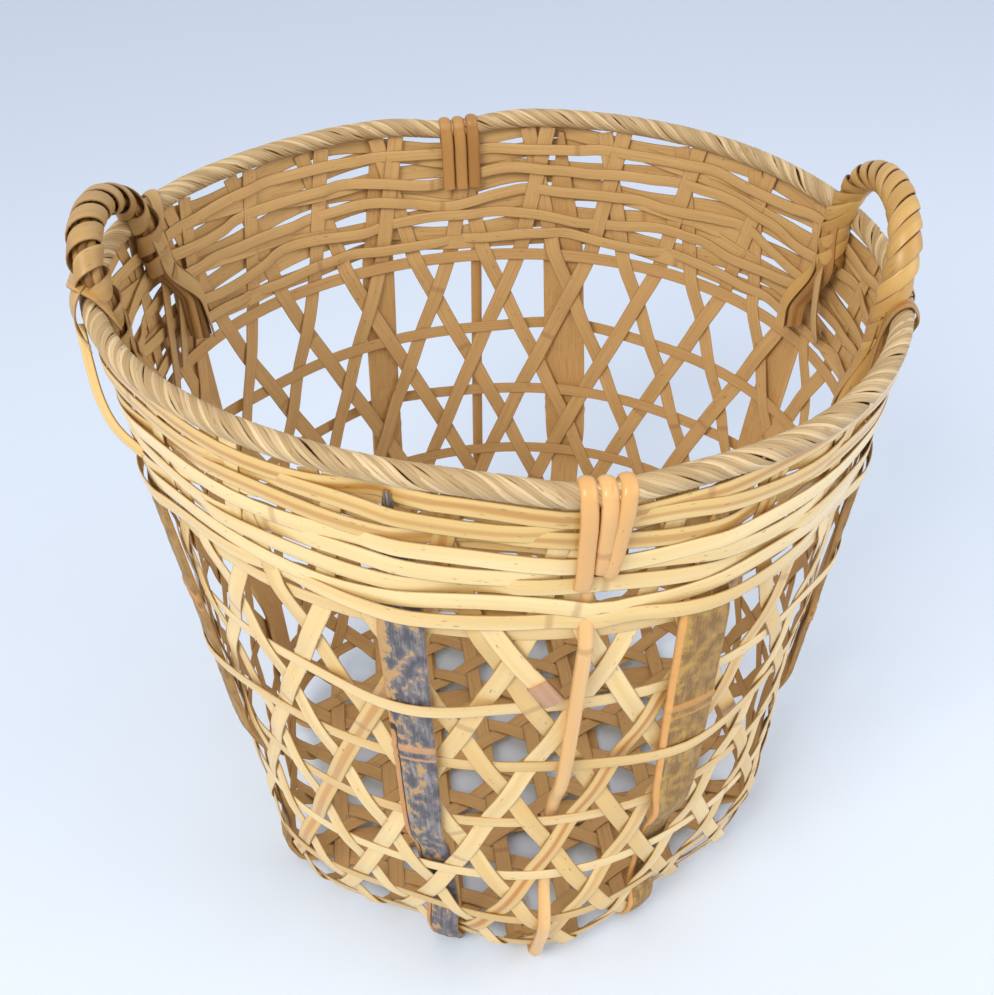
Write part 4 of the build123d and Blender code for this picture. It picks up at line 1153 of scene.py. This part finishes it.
for where, finish in (("front", round_cane), ("back", back_cane)):
    wind_turns(where, finish)
    run_tail(where, finish)
print("pieces so far:", len(pieces))

# %% [markdown]
# ## Loose ends
# An old basket is never quite tidy. Strips that hold the handles loop over the border and hang inside the
# band, and two cross on the outside. They could be simulated as falling strips, but each one is stiff and is
# held at both ends, so a few stops on the wall place it better than gravity would.

# %% Tie the loose strips
# Each one: its width, its finish, and its stops on the wall as angle, ring and millimetres out.
LOOSE_STRIPS = {
    "loop_left": (8.5 * MM, tan_strip, [(160, 7.85, 9), (158.5, 8.0, 9.5), (158.5, 8.1, 0),
                                        (160.5, 8.03, -8.5), (163, 7.75, -6.5), (166.5, 7.4, -6),
                                        (170, 7.05, -5.5), (171, 6.85, -4)]),
    "leg_strip_left": (8 * MM, tan_strip, [(169, 8.14, -11), (165, 7.97, -10), (162, 7.75, -9),
                                           (161.5, 7.5, -8), (163, 7.3, -6.5), (166, 7.05, -5)]),
    "cross_left_1": (11 * MM, golden_strip, [(185, 8.03, -8.5), (189, 8.1, -1), (194, 8.07, 7),
                                             (198, 7.97, 9.5), (200, 7.9, 7)]),
    "cross_left_2": (10 * MM, golden_strip, [(184.5, 8.03, 9.5), (188, 8.08, 7.5), (192, 8.11, 2),
                                             (196, 8.06, -6), (198, 7.93, -9)]),
    "hanging_left": (6.5 * MM, band_bamboo, [(195, 7.95, 8), (196.5, 7.76, 10.5), (198.7, 7.59, 12.5),
                                             (201, 7.44, 11), (204, 7.33, 3.5)]),
    "loop_right": (8.5 * MM, golden_strip, [(336, 7.35, -6), (339, 7.75, -8), (341, 8.03, -8.5),
                                            (343.5, 8.1, 0), (344, 7.98, 9), (344, 7.9, 7)]),
    "hanging_right": (7 * MM, tan_strip, [(13, 7.95, -11), (11, 7.65, -14), (9.3, 7.4, -14), (8.6, 7.2, -9),
                                          (10, 7.28, -6)]),
}
TWISTED = {"hanging_left": (0, -1.4, 0.3)}  # this one has twisted, so it shows its face to the front
for name, (width, finish, stops) in LOOSE_STRIPS.items():
    points, faces = wall_path(stops)
    faces = faces + np.array(TWISTED.get(name, (0, 0, 0)))
    share = np.linspace(0, 1, len(points))
    lay(name, points, faces, finish, "handle_strip", Width=width, Thickness=1.0 * MM, Crown=0.5 * MM,
        taper=0.5 + 0.5 * np.sin(share * math.pi) ** 0.4)
print("pieces so far:", len(pieces))

# %% [markdown]
# ## The broken strip
# Below the band at the front one strip has broken off at its node, where bamboo is hardest and snaps first.
# A torn end could be modelled fibre by fibre, but at this size a short, uneven stub that widens reads right.

# %% Leave the broken strip
# The torn node has neither skin nor even fibre, so it is redder and duller than what it grew on.
broken_node = split_bamboo("torn bamboo node", "#C39A7A", "#9A6A4A", "#A97B58", gloss=0.6, edge=0.7)
points, faces = wall_path([(263.0, 7.06, 1.5), (265.6, 6.8, 3.0), (268.1, 6.54, 3.6), (270.5, 6.31, 3.8)])
lay("broken_strip", points, faces, weave_bamboo, "woven_strip", Width=10 * MM)
points, faces = wall_path([(269.5, 6.4, 3.9), (270.8, 6.27, 4.6), (272.0, 6.14, 4.2)])
lay("broken_strip_node", points, faces, broken_node, "woven_strip", Width=11 * MM, Thickness=2.6 * MM,
    Crown=0.8 * MM, Unevenness=0.9, taper=np.linspace(0.75, 1.35, len(points)))
print("pieces so far:", len(pieces))

# %% [markdown]
# ## Light and floor
# The basket stands on plain pale paper. A hard lamp would draw the shadow of every strip on every other one,
# so one large soft window lamp comes from the left, and a weaker one fills the inside from the right. The
# openings of the weave stay readable that way.

# %% Lay the floor
scene = bpy.context.scene
scene.view_settings.view_transform = "Standard"
FLOOR = 4    # metres from the basket to the paper's edge
floor_mesh = bpy.data.meshes.new("floor")
floor_mesh.from_pydata([(-FLOOR, -FLOOR, 0), (FLOOR, -FLOOR, 0), (FLOOR, FLOOR, 0), (-FLOOR, FLOOR, 0)], [],
                       [(0, 1, 2, 3)])
floor = bpy.data.objects.new("floor", floor_mesh)
scene.collection.objects.link(floor)
# Uncoated paper scatters light evenly, so the floor takes soft shadows and no reflection.
paper = bpy.data.materials.new("matt pale studio paper")
paper.use_nodes = True
paper_shader = paper.node_tree.nodes["Principled BSDF"]
paper_shader.inputs["Base Color"].default_value = colour("#DAE6F8")
paper_shader.inputs["Roughness"].default_value = 0.9
floor_mesh.materials.append(paper)

# %% Light it, and the last lines
world = bpy.data.worlds.new("studio")
scene.world = world
world.use_nodes = True
sky = world.node_tree.nodes["Background"]
sky.inputs["Color"].default_value = colour("#F1F4F9")
sky.inputs["Strength"].default_value = 0.82
AIM = (0, 0, 0.25)    # the middle of the wall


def lamp(name, place, size, power, tint):
    """A soft area lamp that looks at the basket."""
    data = bpy.data.lights.new(name, "AREA")
    data.size = size
    data.energy = power
    data.color = colour(tint)[:3]
    made = bpy.data.objects.new(name, data)
    aimed = (Vector(AIM) - Vector(place)).to_track_quat("-Z", "Y")
    made.matrix_world = Matrix.Translation(Vector(place)) @ aimed.to_matrix().to_4x4()
    scene.collection.objects.link(made)


lamp("window", (-0.9, -1.3, 1.7), 0.9, 28.0, "#FFF6E6")
lamp("fill", (1.6, -0.6, 1.1), 1.4, 13.0, "#FFF9F0")
